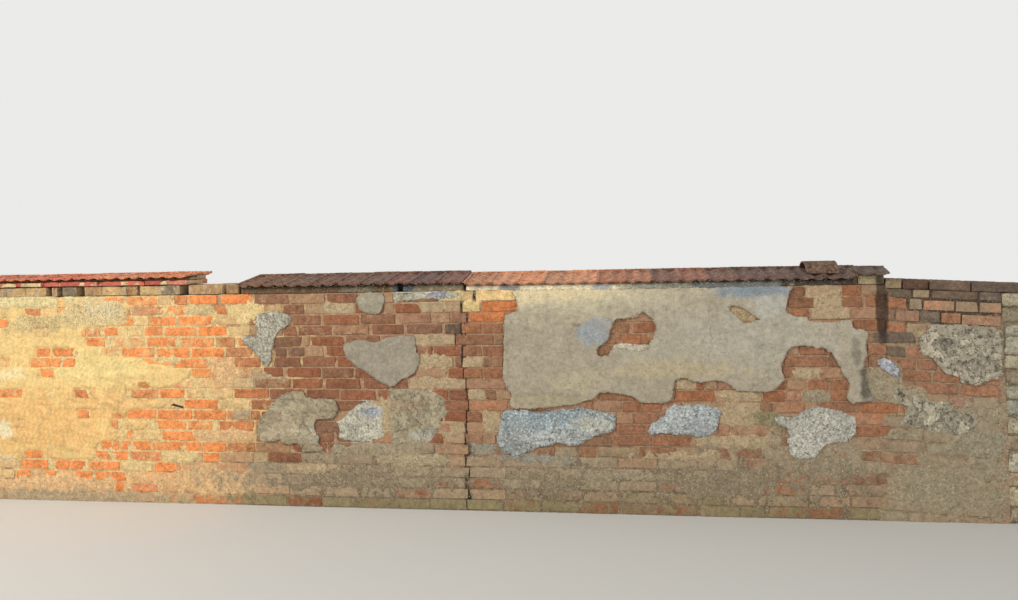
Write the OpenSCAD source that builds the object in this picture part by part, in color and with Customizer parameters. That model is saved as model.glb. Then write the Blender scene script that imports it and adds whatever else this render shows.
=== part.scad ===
// An old brick garden wall in four bays, with a clay tile coping and the remains of its render.
// Millimetres. X runs along the wall, +Y away from the garden side, Z up.
// The origin is on the ground, at the middle of the wall's length and thickness.
//
// Outlines on the garden face are set out as a mason would mark them on the wall:
// each point is [stretchers along from a bay's joint, courses down from the head of the wall].
// All the stretchers of a bay together are always as long as the bay.

/* [Courses] */
// Height of a course: one brick and its bed joint
course_h = 87; // [75:1:100]
// Height of the bed joint between two courses
bed_joint = 16; // [8:1:24]
// Depth to which the mortar has worn back from the brick faces
joint_recess = 7; // [3:1:12]
// Length of a stretcher and its upright joint
stretcher = 300; // [260:5:320]
// Courses from the ground to the head of the wall
courses = 20; // [18:1:26]

/* [Bays] */
// Thickness of the wall, one brick long
wall_t = 300; // [240:5:400]
// Length of the limed bay on the left
left_l = 4455; // [4200:5:6000]
// Length of the rendered bay in the centre
centre_l = 3165; // [3100:5:5000]
// Length of the sunken bay on the right
right_l = 790; // [780:5:1600]
// Length of the stone pier at the right end
pier_l = 590; // [400:5:1200]
// Bite of the toothed joint between the left and centre bays
tooth = 14; // [0:1:30]
// Opening of that joint at the head of the wall
crack_w = 8; // [2:1:20]

/* [Sunken bay] */
// Angle by which the right bay has sunk towards its end
sink_angle = 3.2; // [0:0.1:5]
// Drop of its courses at the joint with the centre bay
sunk_by = 12; // [0:1:40]
// Drop of its head below the head of the centre bay
head_drop = 30; // [0:1:60]
// Thickness of the worn slabs on the right bay and pier
slab_t = 72; // [40:1:100]
// Overhang of the slabs past both faces of the wall
slab_overhang = 9; // [0:1:30]
// Joint between two slabs
slab_joint = 8; // [3:1:15]
// Course height of the stone pier
stone_course = 128; // [100:1:200]

/* [Coping] */
// Width that one coping tile covers
tile_w = 210; // [180:5:240]
// Length of a coping tile up its slope
tile_l = 420; // [380:5:460]
// Thickness of the clay
tile_t = 14; // [10:1:20]
// Depth of the two flutes of a tile
flute_d = 14; // [6:1:20]
// Height of the side roll above the clay
roll_h = 7; // [4:1:20]
// Width of the side roll
roll_w = 30; // [20:1:44]
// Width of the rib across the head of a tile
head_rib_w = 26; // [16:1:40]
// Fall of the coping towards the garden side
coping_slope = 9; // [4:0.5:15]
// Fall of the left run, which lies nearly level
left_slope = 2; // [0.5:0.5:8]
// Fall of the single tile at the right end
end_slope = 4; // [1:0.5:10]
// Turn of the single tile away from the run beside it
end_turn = 14; // [0:1:25]
// Overhang of the tiles past the garden face
tile_overhang = 40; // [15:1:70]
// Length of the run of coping left on the left bay
left_run_l = 2100; // [1200:5:2300]
// Shortest stretch from which the coping is gone
bare_l = 450; // [300:5:900]
// Gap between two runs of coping
run_gap = 12; // [4:1:30]

/* [Bedding] */
// Height of the mortar under the left run, at the garden face
bed_left = 16; // [12:1:60]
// Height of the mortar under the middle run, at the garden face
bed_middle = 60; // [25:1:90]
// Height of the mortar under the right run, at the garden face
bed_right = 44; // [20:1:90]
// Height of the stones and mortar under the end tile, at the garden face
bed_end = 68; // [48:1:100]
// Set-back of the bedding from the faces of the wall
bed_setback = 6; // [2:1:30]
// Set-back of the left run's bedding, which leaves its flutes hollow in front
hollow_setback = 58; // [20:1:90]
// Thickness of the row of flat tiles under the left run
creasing_t = 40; // [25:1:60]
// Overhang of the flat tiles past both faces
creasing_overhang = 14; // [4:1:30]

/* [Coats] */
// Thickness of the large field of render
render_t = 18; // [8:1:30]
// Thickness of the smaller patches of render
patch_t = 14; // [6:1:25]
// Thickness of the thin washes and the lime coat
wash_t = 8; // [4:1:15]

/* [Small parts] */
// Width of the loose ridge tile
ridge_w = 230; // [200:2:320]
// Length of the loose ridge tile
ridge_l = 235; // [180:5:320]
// Rise of the loose ridge tile over its edges
ridge_rise = 74; // [40:1:100]
// Length of the iron hook's strap
hook_l = 96; // [60:2:160]
// Width of the iron hook's strap
hook_w = 16; // [10:1:30]
// Thickness of the iron
hook_t = 5; // [3:1:8]

/* [Hidden] */

brick_red = "#a5573c";
stone_grey = "#8f8878";
mortar_pale = "#b9ac92";
tile_red = "#8c4a3b";
tile_dark = "#6a4a45";
render_grey = "#b0a892";
render_white = "#b9bab4";
lime_cream = "#d9c48e";

total_l = left_l + centre_l + right_l + pier_l;
left_x = -total_l / 2;
joint_x = left_x + left_l;
right_x = joint_x + centre_l;
pier_x = right_x + right_l;
face_y = -wall_t / 2;
back_y = wall_t / 2;
head_z = courses * course_h;
top_course_z = head_z + course_h;
creasing_z = top_course_z + creasing_t;

// Whole tiles that fit each stretch of the wall, laid from the right end of the centre bay
end_tile_past = 9;
end_tile_x = right_x + end_tile_past - tile_w;
right_tiles = floor((end_tile_x - run_gap - joint_x + tile_w / 2) / tile_w);
right_run_x = end_tile_x - run_gap - right_tiles * tile_w;
middle_end_x = right_run_x - run_gap;
middle_tiles = floor((middle_end_x - left_x - left_run_l - bare_l) / tile_w);
middle_run_x = middle_end_x - middle_tiles * tile_w;
left_tiles = floor(left_run_l / tile_w);
roll_z = flute_d + tile_t + roll_h;

// Stretchers counted along each bay. The coats on a bay spread with its length.
left_count = 14.85;
centre_count = 10.55;
right_count = 2.63;
left_unit = left_l / left_count;
centre_unit = centre_l / centre_count;
right_unit = right_l / right_count;

// Chamfer at the mouth of a worn bed joint
joint_chamfer = 2;
// Extra length by which a cutting solid runs past what it cuts
past = 60;
// Straight steps in each half of a tile's wave
wave_steps = 6;
// Curve steps between two points of an outline
outline_steps = 3;

// Left ends and lengths of the open gaps in the top course of the left bay, in stretchers
top_course_gaps = [[2.63, 0.15], [2.98, 0.14], [3.58, 0.24], [5.46, 0.06], [6.76, 0.24], [8.03, 0.09]];
// Depth of those gaps into the wall, about one header
top_gap_depth = 130;
// Left ends and lengths of the chips broken from the front of the flat tiles, in stretchers
creasing_chips = [[1.7, 0.14], [2.5, 0.2], [4.25, 0.3], [5.6, 0.12], [6.4, 0.3]];
creasing_chip_depth = 34;
// Lengths of the slabs on the right bay, the last one filling the rest
slab_lengths = [110, 175, 280, 320];

// The hole in the bedding of the middle run, back from the end of the run
bed_hole_back = 525;
bed_hole_w = 48;
bed_hole_depth = 90;
// The bite broken from the lower edge of the right run, and its place along the run
bite_along = 1860;
bite_r = 38;

// Points of a closed curve through p, with n steps between each two
function smooth_outline(p, n) = let (m = len(p)) [
    for (i = [0 : m - 1], k = [0 : n - 1])
        let (a = p[(i + m - 1) % m], b = p[i], c = p[(i + 1) % m], d = p[(i + 2) % m], t = k / n)
        0.5 * (2 * b + (c - a) * t + (2 * a - 5 * b + 4 * c - d) * t * t
            + (3 * b - a - 3 * c + d) * t * t * t)
];

// Millimetre points on the face from points in stretchers of one length and courses
function on_face(p, from_x, unit) = [for (q = p) [from_x + q[0] * unit, head_z - q[1] * course_h]];

// Height of a flute's underside at x, measured from the flute's own left edge
flute_w = tile_w / 2;
function flute_z(x) = flute_d * (1 + cos(360 * x / flute_w)) / 2;

// Underside of a run of n tiles, from left to right
function under_wave(n) = [
    for (i = [0 : 2 * n - 1], k = [0 : wave_steps - 1])
        [i * flute_w + k * flute_w / wave_steps, flute_z(k * flute_w / wave_steps)],
    [n * tile_w, flute_z(flute_w)]
];

// Upper side of one tile whose side rolls are centred on its two edges, from left to right
function tile_top(x0) = let (
    r = roll_w / 2,
    first = [for (k = [0 : wave_steps]) r + k * (flute_w - r) / wave_steps]
) concat(
    [[x0, roll_z], [x0 + 0.7 * r, roll_z - 0.3 * roll_h]],
    [for (x = first) [x0 + x, flute_z(x) + tile_t]],
    [for (k = [wave_steps - 1 : -1 : 0]) [x0 + tile_w - first[k], flute_z(first[k]) + tile_t]],
    [[x0 + tile_w - 0.7 * r, roll_z - 0.3 * roll_h]]
);

function run_profile(n) = concat(
    under_wave(n),
    [for (i = [n - 1 : -1 : 0]) let (t = tile_top(i * tile_w)) each concat(
        i == n - 1 ? [[n * tile_w, roll_z]] : [],
        [for (k = [len(t) - 1 : -1 : 0]) t[k]]
    )]
);

// Section of a wall with worn bed joints centred on the heights in lines
module jointed_prism(length, top, lines) {
    half = bed_joint / 2;
    front = [for (z = lines) each [
        [face_y, z - half],
        [face_y + joint_recess, z - half + joint_chamfer],
        [face_y + joint_recess, z + half - joint_chamfer],
        [face_y, z + half]
    ]];
    back = [for (i = [len(front) - 1 : -1 : 0]) [-front[i][0], front[i][1]]];
    rotate([90, 0, 90]) linear_extrude(length)
        polygon(concat([[face_y, 0]], front, [[face_y, top], [back_y, top]], back, [[back_y, 0]]));
}

function course_lines(n) = [for (i = [1 : n - 1]) i * course_h];

// Side of the toothed joint: side is -1 for the left bay and 1 for the centre bay
function toothed_side(side) = [
    for (i = [0 : courses - 1], up = [0, 1])
        let (z = (i + up) * course_h)
        [joint_x + (i % 2 == 0 ? tooth : -tooth) + side * crack_w / 2 * z / head_z, z]
];

module bay_left_wall() {
    color(brick_red) intersection() {
        translate([left_x, 0, 0]) jointed_prism(left_l + past, head_z, course_lines(courses));
        translate([0, back_y + past, 0]) rotate([90, 0, 0]) linear_extrude(wall_t + 2 * past)
            polygon(concat([[left_x, 0]], toothed_side(-1), [[left_x, head_z]]));
    }
}

module bay_centre_wall() {
    color(brick_red) intersection() {
        translate([joint_x - past, 0, 0])
            jointed_prism(centre_l + past, head_z, course_lines(courses));
        translate([0, back_y + past, 0]) rotate([90, 0, 0]) linear_extrude(wall_t + 2 * past)
            polygon(concat([[right_x, 0]], toothed_side(1), [[right_x, head_z]]));
    }
}

// The course above the head on the left bay, with open gaps where headers are gone
module top_course_left() {
    length = middle_run_x - left_x - run_gap;
    color("#b08a52") difference() {
        translate([left_x, face_y, head_z]) cube([length, wall_t, course_h]);
        for (gap = top_course_gaps)
            translate([left_x + gap[0] * stretcher, face_y - past, head_z - past])
                cube([gap[1] * stretcher, top_gap_depth + past, course_h + 2 * past]);
    }
}

// Places what it is given in the sunken frame, whose origin is the top left corner of the right bay
module sunken() {
    translate([right_x, 0, head_z - head_drop]) rotate([0, sink_angle, 0]) children();
}

sunken_l = (right_l + pier_l) / cos(sink_angle);
sunken_depth = head_z * 1.2;

module bay_right_wall() {
    deep = head_z * cos(sink_angle);
    lines = [for (i = [0 : courses - 1]) i * course_h];
    color(brick_red) intersection() {
        translate([right_x, 0, head_z - sunk_by]) rotate([0, sink_angle, 0])
            translate([-sunken_depth, 0, -deep - course_h])
            jointed_prism(2 * sunken_depth, deep + course_h, [for (z = lines) z + course_h]);
        sunken() translate([-sunken_depth, -wall_t, -2 * sunken_depth])
            cube([3 * sunken_depth, 2 * wall_t, 2 * sunken_depth]);
        translate([right_x, -wall_t, 0]) cube([right_l, 2 * wall_t, 2 * head_z]);
    }
}

module end_pier_right() {
    stones = floor(head_z / stone_course);
    lines = [for (i = [1 : stones - 1]) i * stone_course + (i % 2 == 0 ? 1 : -1) * bed_joint];
    color(stone_grey) intersection() {
        translate([pier_x, 0, 0]) jointed_prism(pier_l, head_z, lines);
        sunken() translate([-sunken_depth, -wall_t, -2 * sunken_depth])
            cube([3 * sunken_depth, 2 * wall_t, 2 * sunken_depth]);
    }
}

function sum_to(list, n) = n <= 0 ? 0 : list[n - 1] + slab_joint + sum_to(list, n - 1);

// Large worn slabs in one row, following the sunken courses
module capping_slabs_right() {
    depth = wall_t + 2 * slab_overhang;
    count = len(slab_lengths);
    color("#7d6a5e") sunken() for (i = [0 : count]) {
        x = sum_to(slab_lengths, i);
        length = i < count ? slab_lengths[i] : sunken_l - x;
        translate([x, -depth / 2, 0]) cube([length, depth, slab_t]);
    }
}

// Flat tiles in a row under the left run, chipped along the front
module tile_creasing_left() {
    length = left_tiles * tile_w;
    color(tile_red) difference() {
        translate([left_x, face_y - creasing_overhang, top_course_z])
            cube([length, wall_t + 2 * creasing_overhang, creasing_t]);
        for (chip = creasing_chips)
            translate([left_x + chip[0] * stretcher, face_y - creasing_overhang - past, top_course_z - past])
                cube([chip[1] * stretcher, creasing_chip_depth + past, creasing_t + 2 * past]);
    }
}

// Places what it is given in the frame of a tile run: Y up the slope, Z square to the tiles.
// seat_z is the height of the masonry and bed the height of the mortar on it, at the garden face.
module tile_frame(x, seat_z, bed, slope, turn) {
    drop = tile_overhang * tan(slope);
    translate([x, face_y - tile_overhang, seat_z + bed - drop]) rotate([0, 0, -turn])
        rotate([slope, 0, 0]) children();
}

module tile_run(count, x, seat_z, bed, slope, turn) {
    rib_foot = [for (p = under_wave(count)) [p[0], p[1] + tile_t / 2]];
    tile_frame(x, seat_z, bed, slope, turn) translate([0, tile_l, 0]) rotate([90, 0, 0]) {
        linear_extrude(tile_l) polygon(run_profile(count));
        linear_extrude(head_rib_w) polygon(concat(rib_foot, [[count * tile_w, roll_z], [0, roll_z]]));
    }
}

// Mortar between the level masonry and the fluted undersides of a run of tiles
module scalloped_bed(count, x, seat_z, bed, front_setback, slope, turn) {
    depth = 2 * tile_l;
    intersection() {
        tile_frame(x, seat_z, bed, slope, turn) translate([0, depth, 0]) rotate([90, 0, 0])
            linear_extrude(2 * depth)
            polygon(concat(under_wave(count), [[count * tile_w, -depth], [0, -depth]]));
        translate([x + bed_setback, face_y + front_setback, seat_z])
            cube([count * tile_w - 2 * bed_setback, wall_t - front_setback - bed_setback, depth]);
    }
}

module mortar_bed_left() {
    color(mortar_pale)
        scalloped_bed(left_tiles, left_x, creasing_z, bed_left, hollow_setback, left_slope, 0);
}

module mortar_bed_middle() {
    color(mortar_pale) difference() {
        scalloped_bed(middle_tiles, middle_run_x, head_z, bed_middle, bed_setback, coping_slope, 0);
        translate([middle_end_x - bed_hole_back - bed_hole_w / 2, face_y - past, head_z - past])
            cube([bed_hole_w, bed_hole_depth + past, bed_middle + 2 * past]);
    }
}

module mortar_bed_right() {
    color(mortar_pale)
        scalloped_bed(right_tiles, right_run_x, head_z, bed_right, bed_setback, coping_slope, 0);
}

// The bedding under the end tile stops at the joint with the sunken bay
module bedding_stones_end() {
    color("#a79a7c") intersection() {
        scalloped_bed(1, end_tile_x, head_z, bed_end, bed_setback, end_slope, end_turn);
        translate([joint_x, -wall_t, head_z])
            cube([centre_l - bed_setback, 2 * wall_t, 2 * bed_end + tile_l]);
    }
}

module coping_tiles_left() {
    color(tile_red) tile_run(left_tiles, left_x, creasing_z, bed_left, left_slope, 0);
}

module coping_tiles_middle() {
    color(tile_dark) tile_run(middle_tiles, middle_run_x, head_z, bed_middle, coping_slope, 0);
}

module coping_tiles_right() {
    color(tile_red) difference() {
        tile_run(right_tiles, right_run_x, head_z, bed_right, coping_slope, 0);
        tile_frame(right_run_x, head_z, bed_right, coping_slope, 0)
            translate([bite_along, 0, -past]) cylinder(h = roll_z + 2 * past, r = bite_r, $fn = 24);
    }
}

module coping_end_tile() {
    color(tile_dark) tile_run(1, end_tile_x, head_z, bed_end, end_slope, end_turn);
}

// A ridge tile that lies loose along the right run near its end, its two edges on a side roll
module loose_ridge_tile() {
    seat_gap = 0.3;
    half = ridge_w / 2;
    outer = (half * half + ridge_rise * ridge_rise) / (2 * ridge_rise);
    along = (right_tiles - 1) * tile_w - ridge_l / 2;
    up_slope = 90;
    color("#75554d") tile_frame(right_run_x + along, head_z, bed_right, coping_slope, 0)
        translate([0, up_slope + half, roll_z + seat_gap + ridge_rise - outer])
        rotate([90, 0, 90]) linear_extrude(ridge_l) intersection() {
            difference() {
                circle(r = outer, $fn = 72);
                circle(r = outer - tile_t, $fn = 72);
            }
            translate([-half, outer - ridge_rise]) square([ridge_w, 2 * ridge_rise]);
        }
}

// A coat of thickness t on the garden face, inside the outline p set out from from_x
module coat(p, from_x, unit, t) {
    translate([0, face_y, 0]) rotate([90, 0, 0]) linear_extrude(t)
        polygon(smooth_outline(on_face(p, from_x, unit), outline_steps));
}

// A window in a coat over one whole brick: left end, course and length, in stretchers and courses
module brick_window(w, from_x, unit) {
    half = bed_joint / 2;
    translate([from_x + w[0] * unit, face_y - past, head_z - (w[1] + 1) * course_h + half])
        cube([w[2] * stretcher, 2 * past, course_h - bed_joint]);
}

// Cream lime and mortar smeared over most of the left bay, with bricks left bare in it.
// The outline runs on past the end of the bay, which cuts it off.
lime_outline = [
    [-0.1, 0.9], [1.0, 0.95], [1.9, 1.0], [2.05, 1.75], [2.9, 1.8], [3.25, 1.0], [3.6, 0.2], [3.9, 0.35],
    [4.1, 0.95], [4.5, 0.4], [5.0, 0.5], [5.3, 1.1], [5.15, 1.9], [5.2, 2.8], [4.5, 3.0], [3.85, 3.2],
    [3.85, 4.7], [4.4, 5.0], [4.5, 5.85], [5.3, 5.9], [5.8, 6.5], [6.6, 6.9], [7.05, 7.2], [6.9, 8.0],
    [6.5, 8.8], [5.3, 9.0], [5.05, 9.5], [5.2, 10.05], [6.2, 10.1], [6.35, 10.7], [5.4, 11.0],
    [5.05, 11.5], [5.3, 12.0], [5.75, 12.3], [5.6, 12.9], [4.8, 13.2], [4.9, 13.9], [4.25, 14.3],
    [4.1, 15.0], [4.0, 15.9], [3.3, 16.0], [2.7, 15.8], [2.4, 15.2], [2.0, 15.2], [1.8, 15.9],
    [1.0, 16.1], [-0.1, 16.0], [-0.2, 8.0]
];
lime_windows = [
    [0.9, 2, 0.5], [2.3, 3, 0.42], [2.3, 5, 0.43], [2.82, 5, 0.74], [0.75, 6, 0.7], [2.1, 6, 0.95],
    [3.12, 6, 0.4], [2.4, 7, 0.42], [0.85, 9, 0.95], [3.5, 9, 0.45], [3.6, 11, 0.36], [1.6, 12, 0.3]
];

module lime_coat_left() {
    color(lime_cream) difference() {
        coat(lime_outline, left_x, left_unit, wash_t);
        for (w = lime_windows) brick_window(w, left_x, left_unit);
        translate([left_x - 2 * stretcher, face_y - past, 0]) cube([2 * stretcher, 2 * past, head_z]);
    }
}

// The large field of render on the centre bay, from the head down past mid height
field_outline = [
    [1.42, 0.03], [3.0, 0.02], [5.0, 0.02], [7.0, 0.02], [8.3, 0.03], [8.28, 0.6], [8.22, 1.5],
    [8.2, 2.4], [8.6, 2.65], [8.8, 3.05], [9.3, 3.1], [9.7, 3.1], [9.78, 3.7], [10.0, 3.75],
    [10.12, 4.3], [10.05, 5.0], [10.04, 6.2], [9.98, 6.8], [10.02, 7.6], [10.1, 9.0], [10.2, 9.8],
    [9.95, 9.95], [9.65, 10.05], [9.56, 9.6], [9.63, 8.7], [9.58, 8.1], [9.46, 7.5], [9.42, 6.9],
    [9.28, 6.2], [9.2, 5.7], [9.0, 5.35], [8.7, 5.22], [8.35, 5.25], [8.2, 5.6], [8.13, 6.2],
    [8.02, 6.9], [8.05, 7.4], [8.1, 7.9], [8.02, 8.4], [7.9, 8.85], [7.7, 9.1], [7.3, 9.15],
    [7.0, 9.05], [6.8, 8.65], [6.6, 8.3], [6.4, 8.2], [6.1, 8.3], [5.85, 8.25], [5.65, 7.98],
    [5.45, 8.1], [5.38, 8.5], [5.36, 9.3], [5.3, 9.9], [5.05, 10.15], [4.6, 10.15], [4.4, 9.75],
    [4.1, 9.4], [3.75, 9.2], [3.5, 9.3], [3.36, 9.8], [3.1, 10.1], [2.9, 10.35], [2.4, 10.5],
    [1.8, 10.7], [1.2, 10.65], [1.16, 10.0], [1.2, 9.4], [1.08, 8.8], [1.02, 8.0], [1.0, 7.0],
    [1.02, 5.5], [1.04, 4.0], [1.06, 2.8], [1.12, 2.2], [1.35, 1.9], [1.42, 1.4], [1.36, 0.7]
];
// Where the brickwork shows through the field
field_brick_hole = [
    [3.5, 5.9], [3.5, 5.3], [3.72, 4.7], [3.8, 3.9], [3.88, 3.1], [4.05, 2.7], [4.3, 2.68],
    [4.48, 2.4], [4.6, 2.1], [4.75, 2.4], [4.97, 3.1], [5.0, 3.6], [4.88, 4.5], [4.76, 5.3],
    [4.62, 5.6], [4.35, 5.45], [4.1, 5.3], [3.85, 5.5], [3.75, 5.95]
];
field_lens_hole = [
    [6.78, 1.78], [7.0, 1.75], [7.15, 2.0], [7.35, 2.5], [7.55, 2.95], [7.4, 3.1], [7.2, 3.12],
    [7.05, 2.8], [6.9, 2.3]
];

module render_centre_field() {
    color(render_grey) difference() {
        coat(field_outline, joint_x, centre_unit, render_t);
        for (hole = [field_brick_hole, field_lens_hole])
            translate([0, past, 0]) coat(hole, joint_x, centre_unit, render_t + 2 * past);
    }
}

module render_top_strip() {
    color(render_white) coat([
        [-1.95, 0.2], [-1.5, 0.04], [-0.85, 0.03], [-0.2, 0.04], [-0.1, 0.45], [-0.25, 0.85],
        [-0.7, 0.8], [-1.05, 0.84], [-1.4, 0.95], [-1.75, 0.9], [-1.93, 0.7]
    ], joint_x, left_unit, wash_t);
}

module render_patch_small_top() {
    color(render_grey) coat([
        [-2.75, 0.04], [-2.45, 0.03], [-2.28, 0.15], [-2.16, 0.5], [-2.2, 1.1], [-2.26, 1.7],
        [-2.36, 2.02], [-2.55, 1.95], [-2.8, 1.8], [-2.9, 1.4], [-2.95, 0.8], [-2.9, 0.25]
    ], joint_x, left_unit, patch_t);
}

module render_patch_heart() {
    color(render_grey) coat([
        [-3.35, 5.5], [-3.35, 4.9], [-3.2, 4.6], [-2.9, 4.4], [-2.72, 4.5], [-2.6, 4.72], [-2.4, 4.65],
        [-2.22, 4.3], [-1.95, 4.1], [-1.65, 4.03], [-1.4, 4.18], [-1.34, 4.6], [-1.34, 5.3],
        [-1.25, 5.9], [-1.25, 6.5], [-1.35, 7.3], [-1.5, 7.8], [-1.76, 8.15], [-1.9, 8.65],
        [-2.15, 8.6], [-2.45, 8.1], [-2.75, 7.4], [-3.0, 6.9], [-3.16, 6.4], [-3.26, 6.0]
    ], joint_x, left_unit, patch_t);
}

module render_patch_grey_left() {
    color(render_white) coat([
        [-5.8, 2.0], [-5.5, 1.72], [-5.15, 1.7], [-4.9, 1.95], [-4.85, 2.4], [-4.95, 3.0],
        [-5.15, 3.5], [-5.3, 4.2], [-5.35, 5.0], [-5.45, 5.4], [-5.4, 5.9], [-5.45, 6.6],
        [-5.55, 6.8], [-5.7, 6.5], [-5.8, 5.9], [-5.95, 5.3], [-6.15, 4.9], [-6.26, 4.3],
        [-6.12, 4.0], [-5.9, 4.05], [-5.8, 3.5], [-5.85, 2.7]
    ], joint_x, left_unit, patch_t);
}

// Smooth render low on the left bay, with a thicker dab of mortar on it
module render_patch_lower_left() {
    dab_extra = 8;
    color(render_grey) {
        coat([
            [-5.83, 13.85], [-5.85, 12.9], [-5.82, 12.2], [-5.74, 11.6], [-5.55, 11.0], [-5.4, 10.3],
            [-5.25, 9.8], [-5.0, 9.35], [-4.75, 9.15], [-4.5, 9.25], [-4.38, 9.7], [-4.1, 9.93],
            [-3.7, 10.0], [-3.56, 10.4], [-3.58, 11.4], [-3.72, 11.75], [-4.1, 11.85],
            [-4.2, 12.3], [-4.18, 12.9], [-4.08, 13.4], [-4.12, 13.9], [-3.98, 14.6], [-4.2, 14.85],
            [-4.55, 14.7], [-4.7, 14.15], [-4.95, 14.2], [-5.15, 14.05], [-5.25, 13.75], [-5.45, 13.95]
        ], joint_x, left_unit, patch_t);
        coat([
            [-5.2, 13.5], [-5.05, 12.8], [-4.8, 12.42], [-4.56, 12.5], [-4.5, 13.0], [-4.65, 13.65],
            [-4.9, 14.1], [-5.1, 13.95]
        ], joint_x, left_unit, patch_t + dab_extra);
    }
}

module render_patch_white_lower() {
    color(render_white) coat([
        [-3.55, 13.5], [-3.5, 12.8], [-3.53, 12.1], [-3.42, 11.6], [-3.15, 10.9], [-3.02, 10.4],
        [-2.8, 10.12], [-2.45, 10.25], [-2.25, 10.45], [-2.2, 11.0], [-2.24, 12.0], [-2.2, 13.0],
        [-2.3, 13.65], [-2.85, 13.88], [-3.3, 13.85]
    ], joint_x, left_unit, wash_t);
}

module render_patch_lower_mid() {
    color(render_grey) coat([
        [-2.1, 9.15], [-1.9, 9.02], [-1.35, 9.0], [-0.95, 9.1], [-0.75, 9.35], [-0.6, 9.8],
        [-0.5, 10.6], [-0.55, 11.3], [-0.7, 11.9], [-0.75, 12.6], [-0.85, 13.0], [-0.9, 13.6],
        [-1.1, 14.0], [-1.65, 14.2], [-2.0, 14.2], [-2.12, 13.6], [-2.1, 12.5], [-2.12, 11.0],
        [-2.14, 10.0]
    ], joint_x, left_unit, wash_t);
}

module render_patch_blue_lower() {
    color(render_white) coat([
        [0.84, 13.0], [0.8, 13.6], [0.88, 14.35], [1.15, 14.85], [1.42, 14.9], [1.7, 14.35],
        [2.15, 14.02], [2.35, 13.75], [2.6, 13.9], [2.87, 13.95], [3.1, 13.6], [3.4, 13.1],
        [3.75, 12.8], [3.88, 12.3], [3.87, 11.3], [3.6, 10.95], [3.2, 10.75], [2.9, 10.6],
        [2.4, 10.75], [1.9, 10.98], [1.25, 10.85], [0.97, 11.2], [0.88, 12.0]
    ], joint_x, centre_unit, patch_t);
}

module render_patch_blue_small() {
    color(render_white) coat([
        [5.2, 10.5], [5.5, 10.3], [6.15, 10.35], [6.45, 10.6], [6.58, 10.95], [6.45, 11.4],
        [6.45, 12.3], [6.3, 12.8], [6.0, 13.02], [5.7, 12.9], [5.25, 12.8], [4.8, 12.86],
        [4.72, 12.4], [4.87, 11.9], [5.05, 11.5], [5.15, 11.0]
    ], joint_x, centre_unit, patch_t);
}

module render_patch_white_right() {
    color(render_white) coat([
        [7.85, 11.25], [8.25, 11.3], [8.45, 11.0], [8.62, 10.55], [9.0, 10.45], [9.45, 10.85],
        [9.75, 11.15], [9.78, 12.0], [9.74, 12.7], [9.5, 13.25], [9.1, 13.6], [8.95, 14.0],
        [8.8, 14.6], [8.45, 14.95], [8.2, 14.6], [8.13, 14.15], [8.18, 13.8], [8.1, 13.4],
        [8.22, 12.8], [8.1, 12.2], [7.9, 11.85]
    ], joint_x, centre_unit, patch_t);
}

module render_patch_right() {
    color(render_grey) coat([
        [1.05, 3.45], [1.5, 3.42], [2.0, 3.5], [2.45, 3.75], [2.57, 4.2], [2.6, 5.5], [2.6, 7.4],
        [2.4, 8.0], [2.1, 8.45], [1.8, 8.35], [1.6, 7.9], [1.3, 7.55], [1.14, 7.0], [1.02, 6.3],
        [0.78, 5.9], [0.75, 5.2], [0.78, 4.4], [0.95, 3.9]
    ], right_x, right_unit, patch_t);
}

module render_patch_right_low() {
    color(render_grey) coat([
        [0.12, 8.1], [0.3, 8.6], [0.4, 8.95], [0.72, 9.15], [0.85, 9.6], [1.4, 9.85], [1.55, 10.6],
        [1.95, 10.85], [2.0, 11.8], [1.9, 12.5], [1.6, 12.85], [1.05, 12.5], [0.55, 12.05],
        [0.25, 11.75], [0.4, 11.1], [0.38, 10.5], [0.08, 10.1], [0.05, 9.0]
    ], right_x, right_unit, wash_t);
}

// A pale chip of render across the joint of the centre and right bays
module render_chip_pale() {
    color(render_white) coat([
        [-0.25, 6.5], [-0.12, 6.25], [0.05, 6.35], [0.17, 6.8], [0.24, 7.4], [0.2, 7.85],
        [0.06, 7.65], [-0.1, 7.3], [-0.22, 6.95]
    ], right_x, stretcher, patch_t);
}

// A flat iron strap on the left bay's face, with a spike that stands out from its upper end
module iron_hook() {
    spike_r = 5;
    spike_l = 34;
    strap_angle = -15;
    color("#3a2a24") translate([left_x + 6.5 * left_unit, face_y, head_z - 10.5 * course_h])
        rotate([90, 0, 0]) rotate([0, 0, strap_angle]) {
            translate([0, -hook_w / 2, 0]) cube([hook_l, hook_w, hook_t]);
            translate([hook_w / 2, 0, 0]) cylinder(h = spike_l, r = spike_r, $fn = 24);
        }
}

bay_left_wall();
top_course_left();
bay_centre_wall();
bay_right_wall();
end_pier_right();
capping_slabs_right();
tile_creasing_left();
mortar_bed_left();
mortar_bed_middle();
mortar_bed_right();
bedding_stones_end();
coping_tiles_left();
coping_tiles_middle();
coping_tiles_right();
coping_end_tile();
loose_ridge_tile();
lime_coat_left();
render_centre_field();
render_top_strip();
render_patch_small_top();
render_patch_heart();
render_patch_grey_left();
render_patch_lower_left();
render_patch_white_lower();
render_patch_lower_mid();
render_patch_blue_lower();
render_patch_blue_small();
render_patch_white_right();
render_patch_right();
render_patch_right_low();
render_chip_pale();
iron_hook();
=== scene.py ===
"""Looks of an old brick garden wall: brickwork, mortar, render, lime, stones and a coping of clay tiles."""
import logging
import math
import random
from contextlib import contextmanager
from dataclasses import dataclass, field, replace
from enum import Enum
from typing import Callable, Iterator, Optional, Sequence, Union

import bmesh
import bpy
import numpy as np
from mathutils import Matrix, Vector


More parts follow.
